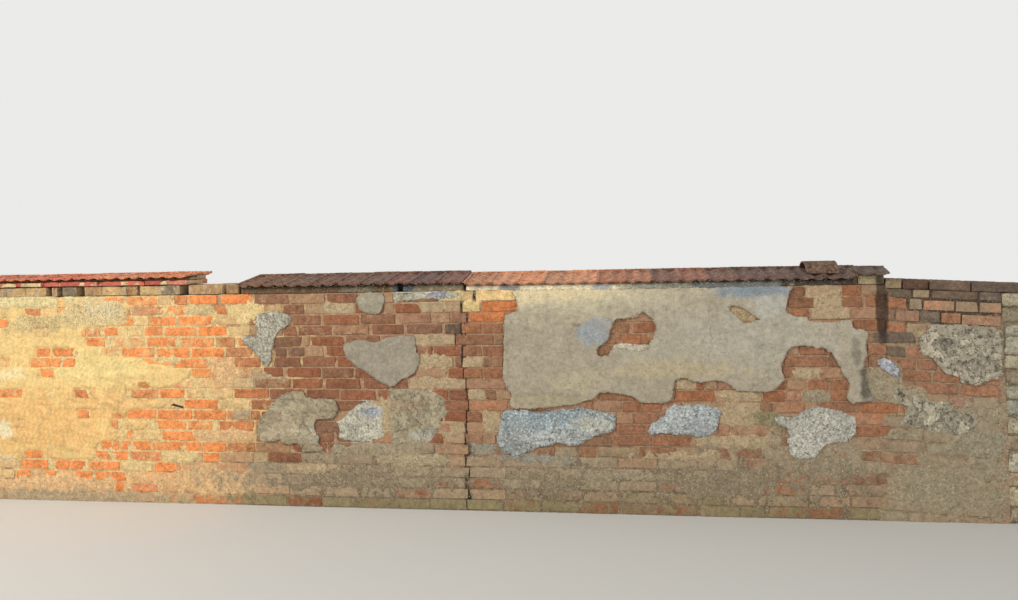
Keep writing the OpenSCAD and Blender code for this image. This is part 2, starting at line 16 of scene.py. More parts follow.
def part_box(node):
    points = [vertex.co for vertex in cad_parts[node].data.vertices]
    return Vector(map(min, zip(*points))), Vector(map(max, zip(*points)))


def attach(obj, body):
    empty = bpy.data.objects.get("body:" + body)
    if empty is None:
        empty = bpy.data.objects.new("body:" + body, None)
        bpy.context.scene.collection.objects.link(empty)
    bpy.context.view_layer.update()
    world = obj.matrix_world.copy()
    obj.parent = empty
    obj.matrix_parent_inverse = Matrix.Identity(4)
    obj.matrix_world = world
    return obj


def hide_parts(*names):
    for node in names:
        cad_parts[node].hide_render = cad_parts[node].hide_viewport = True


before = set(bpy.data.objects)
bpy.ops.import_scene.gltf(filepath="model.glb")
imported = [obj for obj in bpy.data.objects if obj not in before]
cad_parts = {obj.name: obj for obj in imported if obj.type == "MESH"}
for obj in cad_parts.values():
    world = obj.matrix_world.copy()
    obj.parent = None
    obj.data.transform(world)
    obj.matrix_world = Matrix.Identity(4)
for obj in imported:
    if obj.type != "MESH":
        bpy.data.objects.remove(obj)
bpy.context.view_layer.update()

log = logging.getLogger("garden_wall")

Triple = tuple[float, float, float]
Colour = Triple
Pair = tuple[float, float]
# A place on a plane and the normal that points to what is cut off
Plane = tuple[Triple, Triple]
Piece = bpy.types.Object
Mesh = bpy.types.Mesh
Material = bpy.types.Material


def chart(red: int, green: int, blue: int) -> Colour:
    """Linear colour of a paint chart value.

    Args:
        red: Red of the chart, 0 to 255.
        green: Green of the chart, 0 to 255.
        blue: Blue of the chart, 0 to 255.

    Returns:
        The linear red, green and blue.
    """
    def linear(value: int) -> float:
        """Linear strength of one chart value."""
        share = value / 255
        return share / 12.92 if share <= 0.04045 else ((share + 0.055) / 1.055) ** 2.4

    return linear(red), linear(green), linear(blue)


# Wall frame


@dataclass(frozen=True)
class WallFrame:
    """Main lines of the wall, in metres."""

    course: float = 0.087
    stretcher: float = 0.3
    head: float = 1.74
    face: float = 0.15
    left: float = -4.5
    joint: float = -0.045
    right: float = 3.12
    pier: float = 3.91
    end: float = 4.5
    sunken_head: float = 1.71
    sunken_rows: float = 1.728
    sink: float = math.radians(3.2)


WALL = WallFrame()
GROUND: Plane = ((0, 0, 0), (0, 0, -1))


@dataclass(frozen=True)
class Ruler:
    """Turns stretchers along and courses down into metres on the garden face."""

    origin_x: float
    top: float = WALL.head

    def place(self, along: float, down: float) -> Pair:
        """X and Z of a point given in stretchers and courses."""
        return self.origin_x + along * WALL.stretcher, self.top - down * WALL.course


LEFT_RULER = Ruler(WALL.left)
CENTRE_RULER = Ruler(WALL.joint)
RIGHT_RULER = Ruler(WALL.right)


# Operators


def deselect() -> None:
    """Deselects everything, so that an operator acts on nothing but what comes next."""
    bpy.ops.object.select_all(action="DESELECT")


def focus(*pieces: Piece) -> None:
    """Selects only these pieces, and makes the first one active."""
    deselect()
    for piece in pieces:
        piece.select_set(True)
    bpy.context.view_layer.objects.active = pieces[0]


@contextmanager
def editing(piece: Piece, select: str = "DESELECT") -> Iterator[bmesh.types.BMesh]:
    """Opens a piece in edit mode with nothing or everything selected, and closes it again."""
    focus(piece)
    bpy.ops.object.mode_set(mode="EDIT")
    bpy.context.tool_settings.mesh_select_mode = (True, False, False)
    bpy.ops.mesh.select_all(action=select)
    mesh = bmesh.from_edit_mesh(piece.data)
    try:
        yield mesh
    finally:
        bpy.ops.object.mode_set(mode="OBJECT")


def pick_verts(piece: Piece, mesh: bmesh.types.BMesh, test: Callable[[Vector], bool]) -> int:
    """Selects the vertices that pass a test on their place.

    Args:
        piece: The piece in edit mode.
        mesh: Its edit mesh.
        test: Says whether a place is wanted.

    Returns:
        How many vertices are selected.
    """
    count = 0
    for vert in mesh.verts:
        wanted = test(vert.co)
        vert.select = wanted
        count += wanted
    mesh.select_flush(True)
    mesh.select_flush(False)
    bmesh.update_edit_mesh(piece.data)
    return count


def apply_modifier(piece: Piece, kind: str, **settings: object) -> None:
    """Adds a modifier with its settings and applies it."""
    focus(piece)
    modifier = piece.modifiers.new(kind.title(), kind)
    for name, value in settings.items():
        setattr(modifier, name, value)
    bpy.ops.object.modifier_apply(modifier=modifier.name)


def roughen(piece: Piece, size: float, strength: float, group: str = "", depth: int = 2,
            direction: str = "NORMAL") -> None:
    """Displaces a piece by noise.

    Args:
        piece: The piece.
        size: Width of the noise's shapes, in metres.
        strength: Height of the displacement, in metres.
        group: Vertex group that limits it.
        depth: Finer layers of the noise.
        direction: Direction of the Displace modifier.
    """
    noise = bpy.data.textures.new(f"clouds_{size}", "CLOUDS")
    noise.noise_scale, noise.noise_depth = size, depth
    noise.cloud_type = "COLOR" if direction == "RGB_TO_XYZ" else "GRAYSCALE"
    apply_modifier(piece, "DISPLACE", texture=noise, strength=strength, mid_level=0.5, vertex_group=group,
                   direction=direction, texture_coords="LOCAL")


def set_group(piece: Piece, name: str, weights: np.ndarray) -> None:
    """Gives a piece a vertex group with one weight for each vertex."""
    group = piece.vertex_groups.new(name=name)
    levels = np.round(np.clip(weights, 0, 1) * 100).astype(int)
    for level in np.unique(levels):
        if level:
            group.add(np.flatnonzero(levels == level).tolist(), level / 100, "REPLACE")


def corners(piece: Piece) -> np.ndarray:
    """Places of a piece's vertices, one row each."""
    places = np.empty(len(piece.data.vertices) * 3)
    piece.data.vertices.foreach_get("co", places)
    return places.reshape(-1, 3)


def set_colour(mesh: Mesh, name: str, colour: Union[Colour, np.ndarray],
               fourth: Union[float, np.ndarray] = 1) -> None:
    """Stores a colour and a fourth value for all vertices or for each, in place of any of that name."""
    values = np.empty((len(mesh.vertices), 4), dtype=np.float32)
    values[:, :3], values[:, 3] = colour, fourth
    if name in mesh.attributes:
        mesh.attributes.remove(mesh.attributes[name])
    mesh.attributes.new(name, "FLOAT_COLOR", "POINT").data.foreach_set("color", values.ravel())


def raise_surface(piece: Piece, name: str, weights: np.ndarray, height: float) -> None:
    """Moves a surface along its normals by a height times the weight of each vertex."""
    set_group(piece, name, weights)
    apply_modifier(piece, "DISPLACE", strength=height, mid_level=0, vertex_group=name)


def new_object(name: str, data: bpy.types.ID) -> Piece:
    """An object with this data, linked to the scene."""
    made = bpy.data.objects.new(name, data)
    bpy.context.scene.collection.objects.link(made)
    return made


def slice_off(piece: Piece, *planes: Plane) -> None:
    """Cuts a piece along planes, one after the other, and closes it."""
    with editing(piece):
        for place, normal in planes:
            bpy.ops.mesh.select_all(action="SELECT")
            bpy.ops.mesh.bisect(plane_co=place, plane_no=normal, use_fill=True, clear_outer=True)


def under_slabs(gap: float) -> Plane:
    """Plane this far below the sunken slabs."""
    return (WALL.right, 0, WALL.sunken_head - gap), (math.sin(WALL.sink), 0, math.cos(WALL.sink))


def shrink(piece: Piece, inset: float) -> None:
    """Draws a piece's surface in by a distance."""
    with editing(piece, "SELECT"):
        bpy.ops.transform.shrink_fatten(value=-inset)


def delete_faces(piece: Piece, unwanted: Sequence[bool], kind: str = "FACE") -> None:
    """Deletes the marked faces, and their loose corners too unless kind is ONLY_FACE."""
    with editing(piece) as mesh:
        bpy.context.tool_settings.mesh_select_mode = (False, False, True)
        for face, goes in zip(mesh.faces, unwanted):
            face.select_set(bool(goes))
        bmesh.update_edit_mesh(piece.data)
        bpy.ops.mesh.delete(type=kind)


def join(name: str, pieces: Sequence[Piece]) -> Piece:
    """Joins pieces into one with this name."""
    focus(*pieces)
    if len(pieces) > 1:
        bpy.ops.object.join()
    joined = bpy.context.view_layer.objects.active
    joined.name = joined.data.name = name
    return joined


def upright_sheet(name: str, low: Pair, high: Pair, y: float, cell: float) -> Piece:
    """A flat grid that stands along the wall and looks towards the garden.

    Args:
        name: Name of the piece.
        low: Its lowest X and Z.
        high: Its highest X and Z.
        y: Its Y.
        cell: Width of a cell of the grid.

    Returns:
        The sheet, with its place in its mesh.
    """
    width, height = high[0] - low[0], high[1] - low[1]
    deselect()
    bpy.ops.mesh.primitive_grid_add(
        x_subdivisions=max(2, round(width / cell)), y_subdivisions=max(2, round(height / cell)), size=1,
        location=((low[0] + high[0]) / 2, y, (low[1] + high[1]) / 2), rotation=(math.pi / 2, 0, 0))
    sheet = bpy.context.object
    sheet.scale = (width, height, 1)
    bpy.ops.object.transform_apply()
    sheet.name = sheet.data.name = name
    return sheet


def finish_piece(piece: Piece, material: Material,
                 nodes: Sequence[str] = (), angle: float = 35) -> Piece:
    """Dresses a piece, ties it to the frame and reports it.

    Args:
        piece: The piece.
        material: Its finish.
        nodes: CAD nodes that it stands for.
        angle: Edges sharper than this many degrees stay sharp.

    Returns:
        The piece.
    """
    focus(piece)
    bpy.ops.object.shade_smooth_by_angle(angle=math.radians(angle))
    piece.data.materials.clear()
    piece.data.materials.append(material)
    piece.vertex_groups.clear()
    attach(piece, "root")
    if nodes:
        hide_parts(*nodes)
    log.info("%s: %d faces", piece.name, len(piece.data.polygons))
    return piece


# Shader graph


class Flow:
    """A value or colour on its way through a material, with arithmetic."""

    def __init__(self, graph: "Graph", socket: bpy.types.NodeSocket) -> None:
        """Wraps an output socket of the graph."""
        self.graph, self.socket = graph, socket

    def __add__(self, other: "Number") -> "Flow":
        """Sum."""
        return self.graph.maths("ADD", self, other)

    def __sub__(self, other: "Number") -> "Flow":
        """Difference."""
        return self.graph.maths("SUBTRACT", self, other)

    def __rsub__(self, other: "Number") -> "Flow":
        """Difference from a number."""
        return self.graph.maths("SUBTRACT", other, self)

    def __mul__(self, other: "Number") -> "Flow":
        """Product."""
        return self.graph.maths("MULTIPLY", self, other)

    def __truediv__(self, other: "Number") -> "Flow":
        """Quotient."""
        return self.graph.maths("DIVIDE", self, other)

    __radd__ = __add__
    __rmul__ = __mul__


Number = Union[Flow, float]


class Graph:
    """Builds the nodes of one procedural material."""

    def __init__(self, name: str) -> None:
        """Starts an empty material with this name."""
        self.material = bpy.data.materials.new(name)
        self.material.use_nodes = True
        self.tree = self.material.node_tree
        self.tree.nodes.clear()

    def add(self, kind: str, settings: Optional[dict] = None, sockets: Optional[dict] = None,
            output: Union[int, str] = 0) -> Flow:
        """Adds any node.

        Args:
            kind: The node's type, without its ShaderNode.
            settings: Its properties, set first.
            sockets: Values or flows for its inputs.
            output: The output that is wanted.

        Returns:
            The flow from that output, empty for a node that has none.
        """
        node = self.tree.nodes.new(f"ShaderNode{kind}")
        for name, value in (settings or {}).items():
            setattr(node, name, value)
        for key, value in (sockets or {}).items():
            if isinstance(value, Flow):
                self.tree.links.new(value.socket, node.inputs[key])
            elif value is not None:
                node.inputs[key].default_value = value
        return Flow(self, node.outputs[output] if node.outputs else None)

    def maths(self, operation: str, *terms: Number) -> Flow:
        """A Math node on one to three terms."""
        return self.add("Math", {"operation": operation}, dict(enumerate(terms)))

    def place(self) -> Flow:
        """The place on the object, in metres."""
        return self.add("TexCoord", output="Object")

    def stretched(self, scale: Triple, turn: float = 0) -> Flow:
        """The place on the object, stretched and turned about Y."""
        return self.add("Mapping", {}, {"Vector": self.place(), "Scale": scale, "Rotation": (0, turn, 0)})

    def attribute(self, name: str) -> Flow:
        """Colour stored on the vertices."""
        return self.add("Attribute", {"attribute_name": name}, output="Color")

    def amount(self, name: str) -> Flow:
        """Fourth value of a colour stored on the vertices."""
        return self.add("Attribute", {"attribute_name": name}, output="Alpha")

    def noise(self, scale: float, detail: float = 3, rough: float = 0.55, at: Optional[Flow] = None,
              bend: float = 0) -> Flow:
        """Soft noise from about 0.25 to 0.75."""
        return self.add("TexNoise", {}, {"Vector": at or self.place(), "Scale": scale, "Detail": detail,
                                         "Roughness": rough, "Distortion": bend}, "Fac")

    def cells(self, scale: float, feature: str = "F1", at: Optional[Flow] = None) -> Flow:
        """Distance in a pattern of cells."""
        return self.add("TexVoronoi", {"feature": feature}, {"Vector": at or self.place(), "Scale": scale},
                        "Distance")

    def band(self, value: Flow, low: float, high: float) -> Flow:
        """0 below low, 1 above high and smooth between."""
        return self.add("MapRange", {"interpolation_type": "SMOOTHSTEP"},
                        {"Value": value, "From Min": low, "From Max": high})

    def mix(self, share: Number, first: Union[Flow, Colour], second: Union[Flow, Colour]) -> Flow:
        """Blends two colours."""
        def full(colour: Union[Flow, Colour]) -> Union[Flow, tuple]:
            """The colour with its fourth value."""
            return colour if isinstance(colour, Flow) else (*colour, 1)

        return self.add("Mix", {"data_type": "RGBA"}, {0: share, 6: full(first), 7: full(second)}, 2)

    def shade(self, colour: Union[Flow, Colour], factor: Number) -> Flow:
        """Lightens or darkens a colour."""
        return self.add("VectorMath", {"operation": "SCALE"}, {0: colour, "Scale": factor})

    def axis(self, name: str) -> Flow:
        """One coordinate of the place, X, Y or Z."""
        return self.add("SeparateXYZ", {}, {0: self.place()}, name)

    def blot(self, x: float, z: float, wide: float, tall: float, ragged: float = 0.5) -> Flow:
        """A ragged oval on the wall's face, 1 inside and 0 outside."""
        across = (self.axis("X") - x) / wide
        up = (self.axis("Z") - z) / tall
        reach = across * across + up * up + (self.noise(18, 4) - 0.5) * (4 * ragged)
        return 1 - self.band(reach, 0.55, 1.15)

    def grit(self, colour: Union[Flow, Colour], strength: float, coarse: float = 14) -> Flow:
        """Mottles a colour at three scales, from patches of 1/coarse metres down to grains."""
        patches = (self.noise(coarse, 4, 0.6) - 0.5) * 1.2
        spots = (self.noise(coarse * 2.8, 4, 0.65) - 0.5) * 1.8
        grains = (self.noise(coarse * 7, 3, 0.7) - 0.5) * 1.6
        return self.shade(colour, 1 + (patches + spots + grains) * strength)

    def soot(self, colour: Flow) -> Flow:
        """Blackens the streak where water runs down beside the sunken bay."""
        front = 1 - self.band(self.axis("Y"), -0.12, -0.02)
        streak = self.blot(WALL.right - 0.028, 1.57, 0.05, 0.3, 0.34) * front
        patchy = 0.5 + self.noise(36, 5, 0.7) * 0.6
        return self.mix(streak * patchy, colour, chart(50, 41, 35))

    def cracks(self, scale: float, width: float) -> Flow:
        """Fine broken cracks, 1 on the crack, that show here and there only."""
        warp = self.add("VectorMath", {"operation": "SCALE"}, {
            0: self.add("TexNoise", {}, {"Vector": self.place(), "Scale": 9.0, "Detail": 4.0}, "Color"),
            "Scale": 0.14})
        at = self.add("VectorMath", {"operation": "ADD"}, {0: self.place(), 1: warp})
        line = 1 - self.band(self.cells(scale, "DISTANCE_TO_EDGE", at), width * 0.3, width)
        return line * self.band(self.noise(1.9, 2), 0.52, 0.6)

    def surface(self, colour: Flow, rough: Number, relief: Flow, depth: float,
                strength: float = 1) -> Material:
        """Ends the material with its shader.

        Args:
            colour: Base colour.
            rough: Roughness.
            relief: Height of the surface from 0 to 1.
            depth: Metres that the relief spans.
            strength: Strength of the bump.

        Returns:
            The material.
        """
        bump = self.add("Bump", {}, {"Height": relief, "Distance": depth, "Strength": strength})
        shader = self.add("BsdfPrincipled", {}, {
            "Base Color": colour, "Roughness": rough, "Normal": bump, "Specular IOR Level": 0.25})
        self.add("OutputMaterial", {}, {"Surface": shader})
        return self.material


# Finishes


@dataclass(frozen=True)
class BrickFinish:
    """Hand-made brick: cloudy clay, burnt spots, pale flecks and mortar left on the face."""

    name: str = "weathered_brick"
    burnt: Colour = chart(92, 62, 50)
    fleck: Colour = chart(214, 180, 144)
    grime: Colour = chart(96, 80, 66)

    def material(self) -> Material:
        """Builds the material. The clay's colour comes with the brick, the mortar's with its smear."""
        g = Graph(self.name)
        clay, smear = g.attribute("clay"), g.attribute("smear")
        cloud, grain, pores = g.noise(11, 4, 0.6), g.noise(160, 4, 0.65), g.noise(60, 5, 0.7)
        colour = g.grit(clay, 0.86, 12)
        colour = g.mix(g.band(pores, 0.57, 0.7) * 0.7, colour, self.burnt)
        colour = g.mix(g.band(g.noise(33, 5, 0.7), 0.54, 0.68) * 0.42, colour, self.grime)
        colour = g.mix(g.band(g.noise(150, 3), 0.62, 0.72) * 0.45, colour, self.fleck)
        wiped = g.noise(13, 5, 0.62) * 0.68 + g.noise(75, 4, 0.7) * 0.32
        smeared = g.band(wiped + g.amount("smear") * 0.42, 0.6, 0.8)
        colour = g.mix(smeared * 0.88, colour, g.grit(smear, 0.75, 20))
        relief = cloud * 0.3 + grain * 0.35 + pores * 0.35 + smeared * 0.2
        return g.surface(g.soot(colour), 0.84 + grain * 0.14, relief, 0.007, 0.8)


@dataclass(frozen=True)
class MortarFinish:
    """Lime mortar with coarse sand, pits and dirt. Its tint lies on the vertices."""

    name: str
    dirt: Colour = chart(92, 80, 64)
    pale: Colour = chart(226, 216, 194)
    dirt_share: float = 0.6

    def material(self) -> Material:
        """Builds the material."""
        g = Graph(self.name)
        tint = g.attribute("tint")
        cloud, sand, pits = g.noise(9, 5, 0.6), g.noise(220, 3, 0.7), g.cells(75)
        colour = g.grit(tint, 0.8, 20)
        colour = g.mix(g.band(g.noise(52, 5, 0.7), 0.56, 0.66) * self.dirt_share, colour, self.dirt)
        colour = g.mix(g.band(g.noise(85, 3), 0.59, 0.68) * 0.55, colour, self.pale)
        colour = g.mix((1 - g.band(pits, 0.05, 0.2)) * 0.35, colour, self.dirt)
        relief = cloud * 0.35 + sand * 0.3 + g.band(pits, 0.02, 0.3) * 0.15 + g.noise(55, 4) * 0.45
        return g.surface(g.soot(colour), 0.93, relief, 0.009, 0.9)


@dataclass(frozen=True)
class RenderFinish:
    """Trowelled render: its tint and broken edge lie on the vertices, marks of the float run across it."""

    name: str
    light: Colour
    dark: Colour
    mottle: float = 0.3
    mottle_scale: float = 22
    streaks: float = 0.35
    roughness: float = 0.5
    edge: Colour = chart(150, 134, 108)
    spots: Colour = chart(96, 86, 74)
    grit: float = 0.5
    crack_share: float = 0.6
    flakes: float = 0.25

    def material(self) -> Material:
        """Builds the material."""
        g = Graph(self.name)
        tint, broken = g.attribute("tint"), g.amount("tint")
        cloud, sand = g.noise(3.2, 5, 0.6), g.noise(240, 3, 0.7)
        float_marks = g.noise(7, 5, 0.65, g.stretched((1, 1, 5), 0.12), 0.6)
        colour = g.grit(g.shade(tint, 0.86 + cloud * 0.28), self.grit, 12)
        colour = g.mix(g.band(float_marks, 0.5, 0.7) * self.streaks, colour, g.shade(tint, 1.18))
        colour = g.mix((1 - g.band(float_marks, 0.3, 0.46)) * self.streaks, colour, g.shade(tint, 0.78))
        spots = g.noise(self.mottle_scale, 6, 0.72)
        colour = g.mix(g.band(spots, 0.53, 0.62) * self.mottle, colour, self.light)
        colour = g.mix((1 - g.band(spots, 0.37, 0.46)) * self.mottle, colour, self.dark)
        specks = g.band(g.noise(95, 4) + broken * 0.17, 0.6, 0.7)
        colour = g.mix(specks * (broken * 0.3 + 0.45), colour, self.spots)
        colour = g.mix(g.band(g.noise(42, 6, 0.75) + broken * 0.12, 0.58, 0.66) * 0.5, colour, self.edge)
        colour = g.mix(g.band(g.noise(64, 5, 0.75) + broken * 0.1, 0.6, 0.67) * 0.55, colour, self.light)
        layers = g.noise(5.5, 7, 0.63)
        high, low = g.band(layers, 0.55, 0.558), g.band(layers, 0.43, 0.438)
        colour = g.shade(colour, 1 + (high * 0.16 + low * 0.1 - 0.1) * self.flakes)
        lines = (high - g.band(layers, 0.558, 0.57)) + (low - g.band(layers, 0.438, 0.448))
        crack = g.cracks(3.2, 0.012) * self.crack_share
        colour = g.mix(crack + lines * (0.7 * self.flakes), colour, self.spots)
        relief = cloud * 0.2 + float_marks * 0.3 + sand * 0.12 + spots * (0.25 + self.mottle * 0.5)
        relief = relief - crack * 0.5 + (high + low) * (0.5 * self.flakes)
        return g.surface(g.soot(colour), 0.92, relief, 0.009, self.roughness)


@dataclass(frozen=True)
class TileFinish:
    """Old clay roof tile: its clay's colour comes with the tile, with soot, lichen and worn edges."""

    name: str = "weathered_tile_clay"
    lichen: Colour = chart(176, 166, 138)
    worn: Colour = chart(172, 88, 70)

    def material(self) -> Material:
        """Builds the material."""
        g = Graph(self.name)
        clay, lip = g.attribute("clay"), g.amount("clay")
        cloud, grain = g.noise(16, 5, 0.65), g.noise(190, 4, 0.7)
        colour = g.grit(g.shade(clay, 0.9 + cloud * 0.3), 1.0, 16)
        dirt = g.band(g.noise(24, 6, 0.74), 0.47, 0.58) * (1 - lip * 0.75)
        colour = g.mix(dirt * 0.8, colour, g.shade(clay, 0.38))
        colour = g.mix(g.band(g.noise(70, 4, 0.7), 0.6, 0.7) * 0.3 + lip * 0.4, colour,
                       g.mix(0.5, clay, self.worn))
        growth = g.band(g.noise(40, 6, 0.76), 0.54, 0.62) * (0.68 - lip * 0.4)
        colour = g.mix(growth, colour, g.mix(0.5, g.shade(clay, 1.5), self.lichen))
        relief = cloud * 0.4 + grain * 0.3 + g.noise(75, 4) * 0.3
        return g.surface(colour, 0.86, relief, 0.005, 0.8)


@dataclass(frozen=True)
class StoneFinish:
    """Weathered stone: its colour comes with the stone, with lichen, pits and dark seams."""

    name: str
    lichen: Colour = chart(186, 182, 160)
    seam: Colour = chart(74, 66, 56)
    moss: Colour = chart(120, 118, 78)
    seams: float = 0.5

    def material(self) -> Material:
        """Builds the material."""
        g = Graph(self.name)
        clay = g.attribute("clay")
        cloud, grain = g.noise(14, 5, 0.65), g.noise(150, 4, 0.7)
        layers = g.noise(9, 5, 0.7, g.stretched((1, 1, 4), -0.06), 0.8)
        colour = g.grit(g.shade(clay, 0.75 + cloud * 0.5), 0.9, 16)
        colour = g.mix(g.band(layers, 0.55, 0.7) * self.seams, colour, self.seam)
        colour = g.mix(g.band(g.noise(30, 6, 0.75), 0.57, 0.68) * 0.55, colour, self.lichen)
        colour = g.mix(g.band(g.noise(13, 4), 0.6, 0.75) * 0.3, colour, self.moss)
        relief = cloud * 0.4 + grain * 0.25 + layers * 0.5
        return g.surface(colour, 0.9, relief, 0.009, 0.8)


@dataclass(frozen=True)
class IronFinish:
    """Wrought iron gone to rust."""

    name: str = "rusty_iron"
    iron: Colour = chart(50, 40, 36)
    rust: Colour = chart(118, 66, 40)

    def material(self) -> Material:
        """Builds the material."""
        g = Graph(self.name)
        bloom, grain = g.noise(60, 5, 0.7), g.noise(420, 4, 0.7)
        colour = g.mix(g.band(bloom, 0.42, 0.62), self.iron, self.rust)
        return g.surface(g.shade(colour, 0.7 + grain * 0.6), 0.8, bloom * 0.5 + grain * 0.5, 0.002, 0.8)


# Tones and smears


class Tone(Enum):
    """Kinds of brick in this wall: a letter, the clay's colour and how much mortar is wiped over it."""

    RED = ("r", chart(150, 99, 72), 0.04)
    # Orange is partly painted sunlight: it stands for the red bricks where the wall lies in sun.
    SUNLIT_ORANGE = ("o", chart(192, 115, 71), 0.04)
    BROWN = ("b", chart(140, 100, 76), 0.2)
    PINK = ("p", chart(166, 116, 90), 0.42)
    TAN = ("t", chart(158, 126, 97), 0.62)
    YELLOW = ("y", chart(196, 162, 112), 0.3)
    GREY = ("g", chart(140, 122, 98), 0.45)
    DARK = ("d", chart(108, 88, 74), 0.1)

    @property
    def letter(self) -> str:
        """Letter for the tone in a list of bricks."""
        return self.value[0]

    @property
    def clay(self) -> Colour:
        """Linear colour of the clay."""
        return self.value[1]

    @property
    def washed(self) -> float:
        """How much mortar is wiped over the face."""
        return self.value[2]


TONES = {tone.letter: tone for tone in Tone}


@dataclass(frozen=True)
class Smear:
    """Mortar wiped over the bricks: an oval with its tint and how much it covers."""

    along: float
    down: float
    wide: float
    tall: float
    tint: Colour
    cover: float = 0.7
    soft: float = 0.5
    dirt: float = 0.0

    def share(self, x: np.ndarray, z: np.ndarray, ruler: Ruler) -> np.ndarray:
        """How much of the smear there is at each place.

        Args:
            x: Places along the wall.
            z: Heights.
            ruler: The bay's ruler.

        Returns:
            0 outside to 1 inside.
        """
        at_x, at_z = ruler.place(self.along, self.down)
        reach = np.hypot((x - at_x) / (self.wide * WALL.stretcher), (z - at_z) / (self.tall * WALL.course))
        reach = reach + 0.22 * ripple(x, z, 0.16, 7) + 0.14 * ripple(x, z, 0.05, 8)
        return np.clip((1 + self.soft / 2 - reach) / self.soft, 0, 1)


def ripple(x: np.ndarray, z: np.ndarray, size: float, seed: int) -> np.ndarray:
    """Smooth irregular values from about -1 to 1 that change over size metres."""
    draws = np.random.default_rng(seed)
    total = np.zeros_like(x, dtype=float)
    waves = 9
    for _ in range(waves):
        turn, phase, pace = draws.uniform(0, math.tau), draws.uniform(0, math.tau), draws.uniform(0.6, 1.7)
        total += np.sin(math.tau / size * pace * 0.7 * (x * math.cos(turn) + z * math.sin(turn)) + phase)
    return total / math.sqrt(waves)


def tinted(x: np.ndarray, z: np.ndarray, base: Colour, smears: Sequence[Smear], ruler: Ruler) -> np.ndarray:
    """Colour at each place: the base with the smears' tints over it."""
    colours = np.tile(np.array(base), (len(x), 1))
    for smear in smears:
        share = smear.share(x, z, ruler)[:, None]
        colours = colours * (1 - share) + np.array(smear.tint) * share
    return colours


def covered(x: np.ndarray, z: np.ndarray, smears: Sequence[Smear], ruler: Ruler) -> np.ndarray:
    """How much mortar lies over the bricks at each place, 0 to 1."""
    most = np.zeros_like(x, dtype=float)
    for smear in smears:
        most = np.maximum(most, smear.share(x, z, ruler) * smear.cover)
    return most


# Cream and peach are the lime washes as they look in sun on the limed side: partly painted sunlight.
SUNLIT_CREAM = chart(228, 200, 142)
PEACH = chart(224, 184, 134)
TAN_WASH = chart(184, 162, 128)
GREY_TAN = chart(162, 148, 122)
OLIVE = chart(142, 132, 98)
GREY_WASH = chart(152, 146, 130)
WHITE_WASH = chart(206, 198, 176)
DARK_JOINT = chart(134, 117, 94)


# Blocks


@dataclass(frozen=True)
class BlockShape:
    """A brick, tile or stone that is modelled a few times and copied."""

    name: str
    size: Triple
    bevel: float
    wear: float
    cuts: int = 3
    chip: float = 0.012
    variants: int = 6

    def build(self, seed: int) -> list[Mesh]:
        """Models the variants, centred on the origin.

        Args:
            seed: Start of the random wear.

        Returns:
            One mesh for each variant.
        """
        return [self._variant(seed + number) for number in range(self.variants)]

    def _variant(self, seed: int) -> Mesh:
        """Models one variant with its own chips."""
        draws = random.Random(seed)
        deselect()
        bpy.ops.mesh.primitive_cube_add(size=1)
        block = bpy.context.object
        block.scale = self.size
        bpy.ops.object.transform_apply()
        with editing(block) as mesh:
            for cut in range(self.cuts):
                bpy.ops.mesh.select_all(action="SELECT")
                along = ((cut + 1) / (self.cuts + 1) - 0.5 + draws.uniform(-0.06, 0.06)) * self.size[0]
                bpy.ops.mesh.bisect(plane_co=(along, 0, 0), plane_no=(1, draws.uniform(-0.1, 0.1), 0))
            bpy.ops.mesh.select_all(action="DESELECT")
            bpy.ops.mesh.edges_select_sharp(sharpness=math.radians(50))
            bpy.ops.mesh.bevel(offset=self.bevel, segments=1, affect="EDGES")
            mesh = bmesh.from_edit_mesh(block.data)
            bpy.ops.mesh.select_all(action="SELECT")
            bpy.ops.transform.vertex_random(offset=self.wear, uniform=1, normal=0, seed=seed)
            for _ in range(2):
                corner = Vector([draws.choice((-0.5, 0.5)) * side for side in self.size])
                if pick_verts(block, mesh, lambda co: (co - corner).length < self.bevel * 3.2):
                    bpy.ops.transform.translate(value=tuple(-corner.normalized() * self.chip))
            bpy.ops.mesh.select_all(action="SELECT")
            bpy.ops.mesh.normals_make_consistent(inside=False)
        shape = block.data
        shape.name = f"{self.name}_{seed}"
        bpy.data.objects.remove(block)
        return shape


Shapes = Sequence[tuple[BlockShape, list[Mesh]]]


@dataclass
class Block:
    """One brick or stone in its place: its box, tone, smear and turn."""

    low: Vector
    high: Vector
    clay: Colour
    smear: Colour = TAN_WASH
    wiped: float = 0.1
    turn: float = 0.0
    turn_at: Vector = field(default_factory=Vector)

    def copy_of(self, shape: Mesh, size: Sequence[float], draws: random.Random) -> Piece:
        """Copies a shape into this place.

        Args:
            shape: The variant's mesh.
            size: The variant's nominal size.
            draws: Random turns of the shape.

        Returns:
            The placed copy with its own mesh.
        """
        mesh = shape.copy()
        span = self.high - self.low
        scale = [span[i] / size[i] * (draws.choice((-1, 1)) if i < 2 else 1) for i in range(3)]
        mesh.transform(Matrix.Translation((self.low + self.high) / 2) @ Matrix.Diagonal((*scale, 1)))
        if scale[0] * scale[1] < 0:
            mesh.flip_normals()
        if self.turn:
            about = Matrix.Translation(self.turn_at)
            mesh.transform(about @ Matrix.Rotation(self.turn, 4, "Y") @ about.inverted())
        set_colour(mesh, "clay", self.clay)
        set_colour(mesh, "smear", self.smear, self.wiped)
        return new_object(mesh.name, mesh)


def lay_blocks(name: str, blocks: Sequence[Block], shapes: Shapes, seed: int) -> Piece:
    """Copies the best shape into each block's place and joins the copies.

    Args:
        name: Name of the piece.
        blocks: The blocks.
        shapes: Shapes with their variants.
        seed: Start of the random choices.

    Returns:
        The joined piece.
    """
    draws = random.Random(seed)
    placed = []
    for block in blocks:
        length = block.high.x - block.low.x
        shape, variants = min(shapes, key=lambda pair: abs(pair[0].size[0] - length))
        placed.append(block.copy_of(draws.choice(variants), shape.size, draws))
    return join(name, placed)


# Brickwork


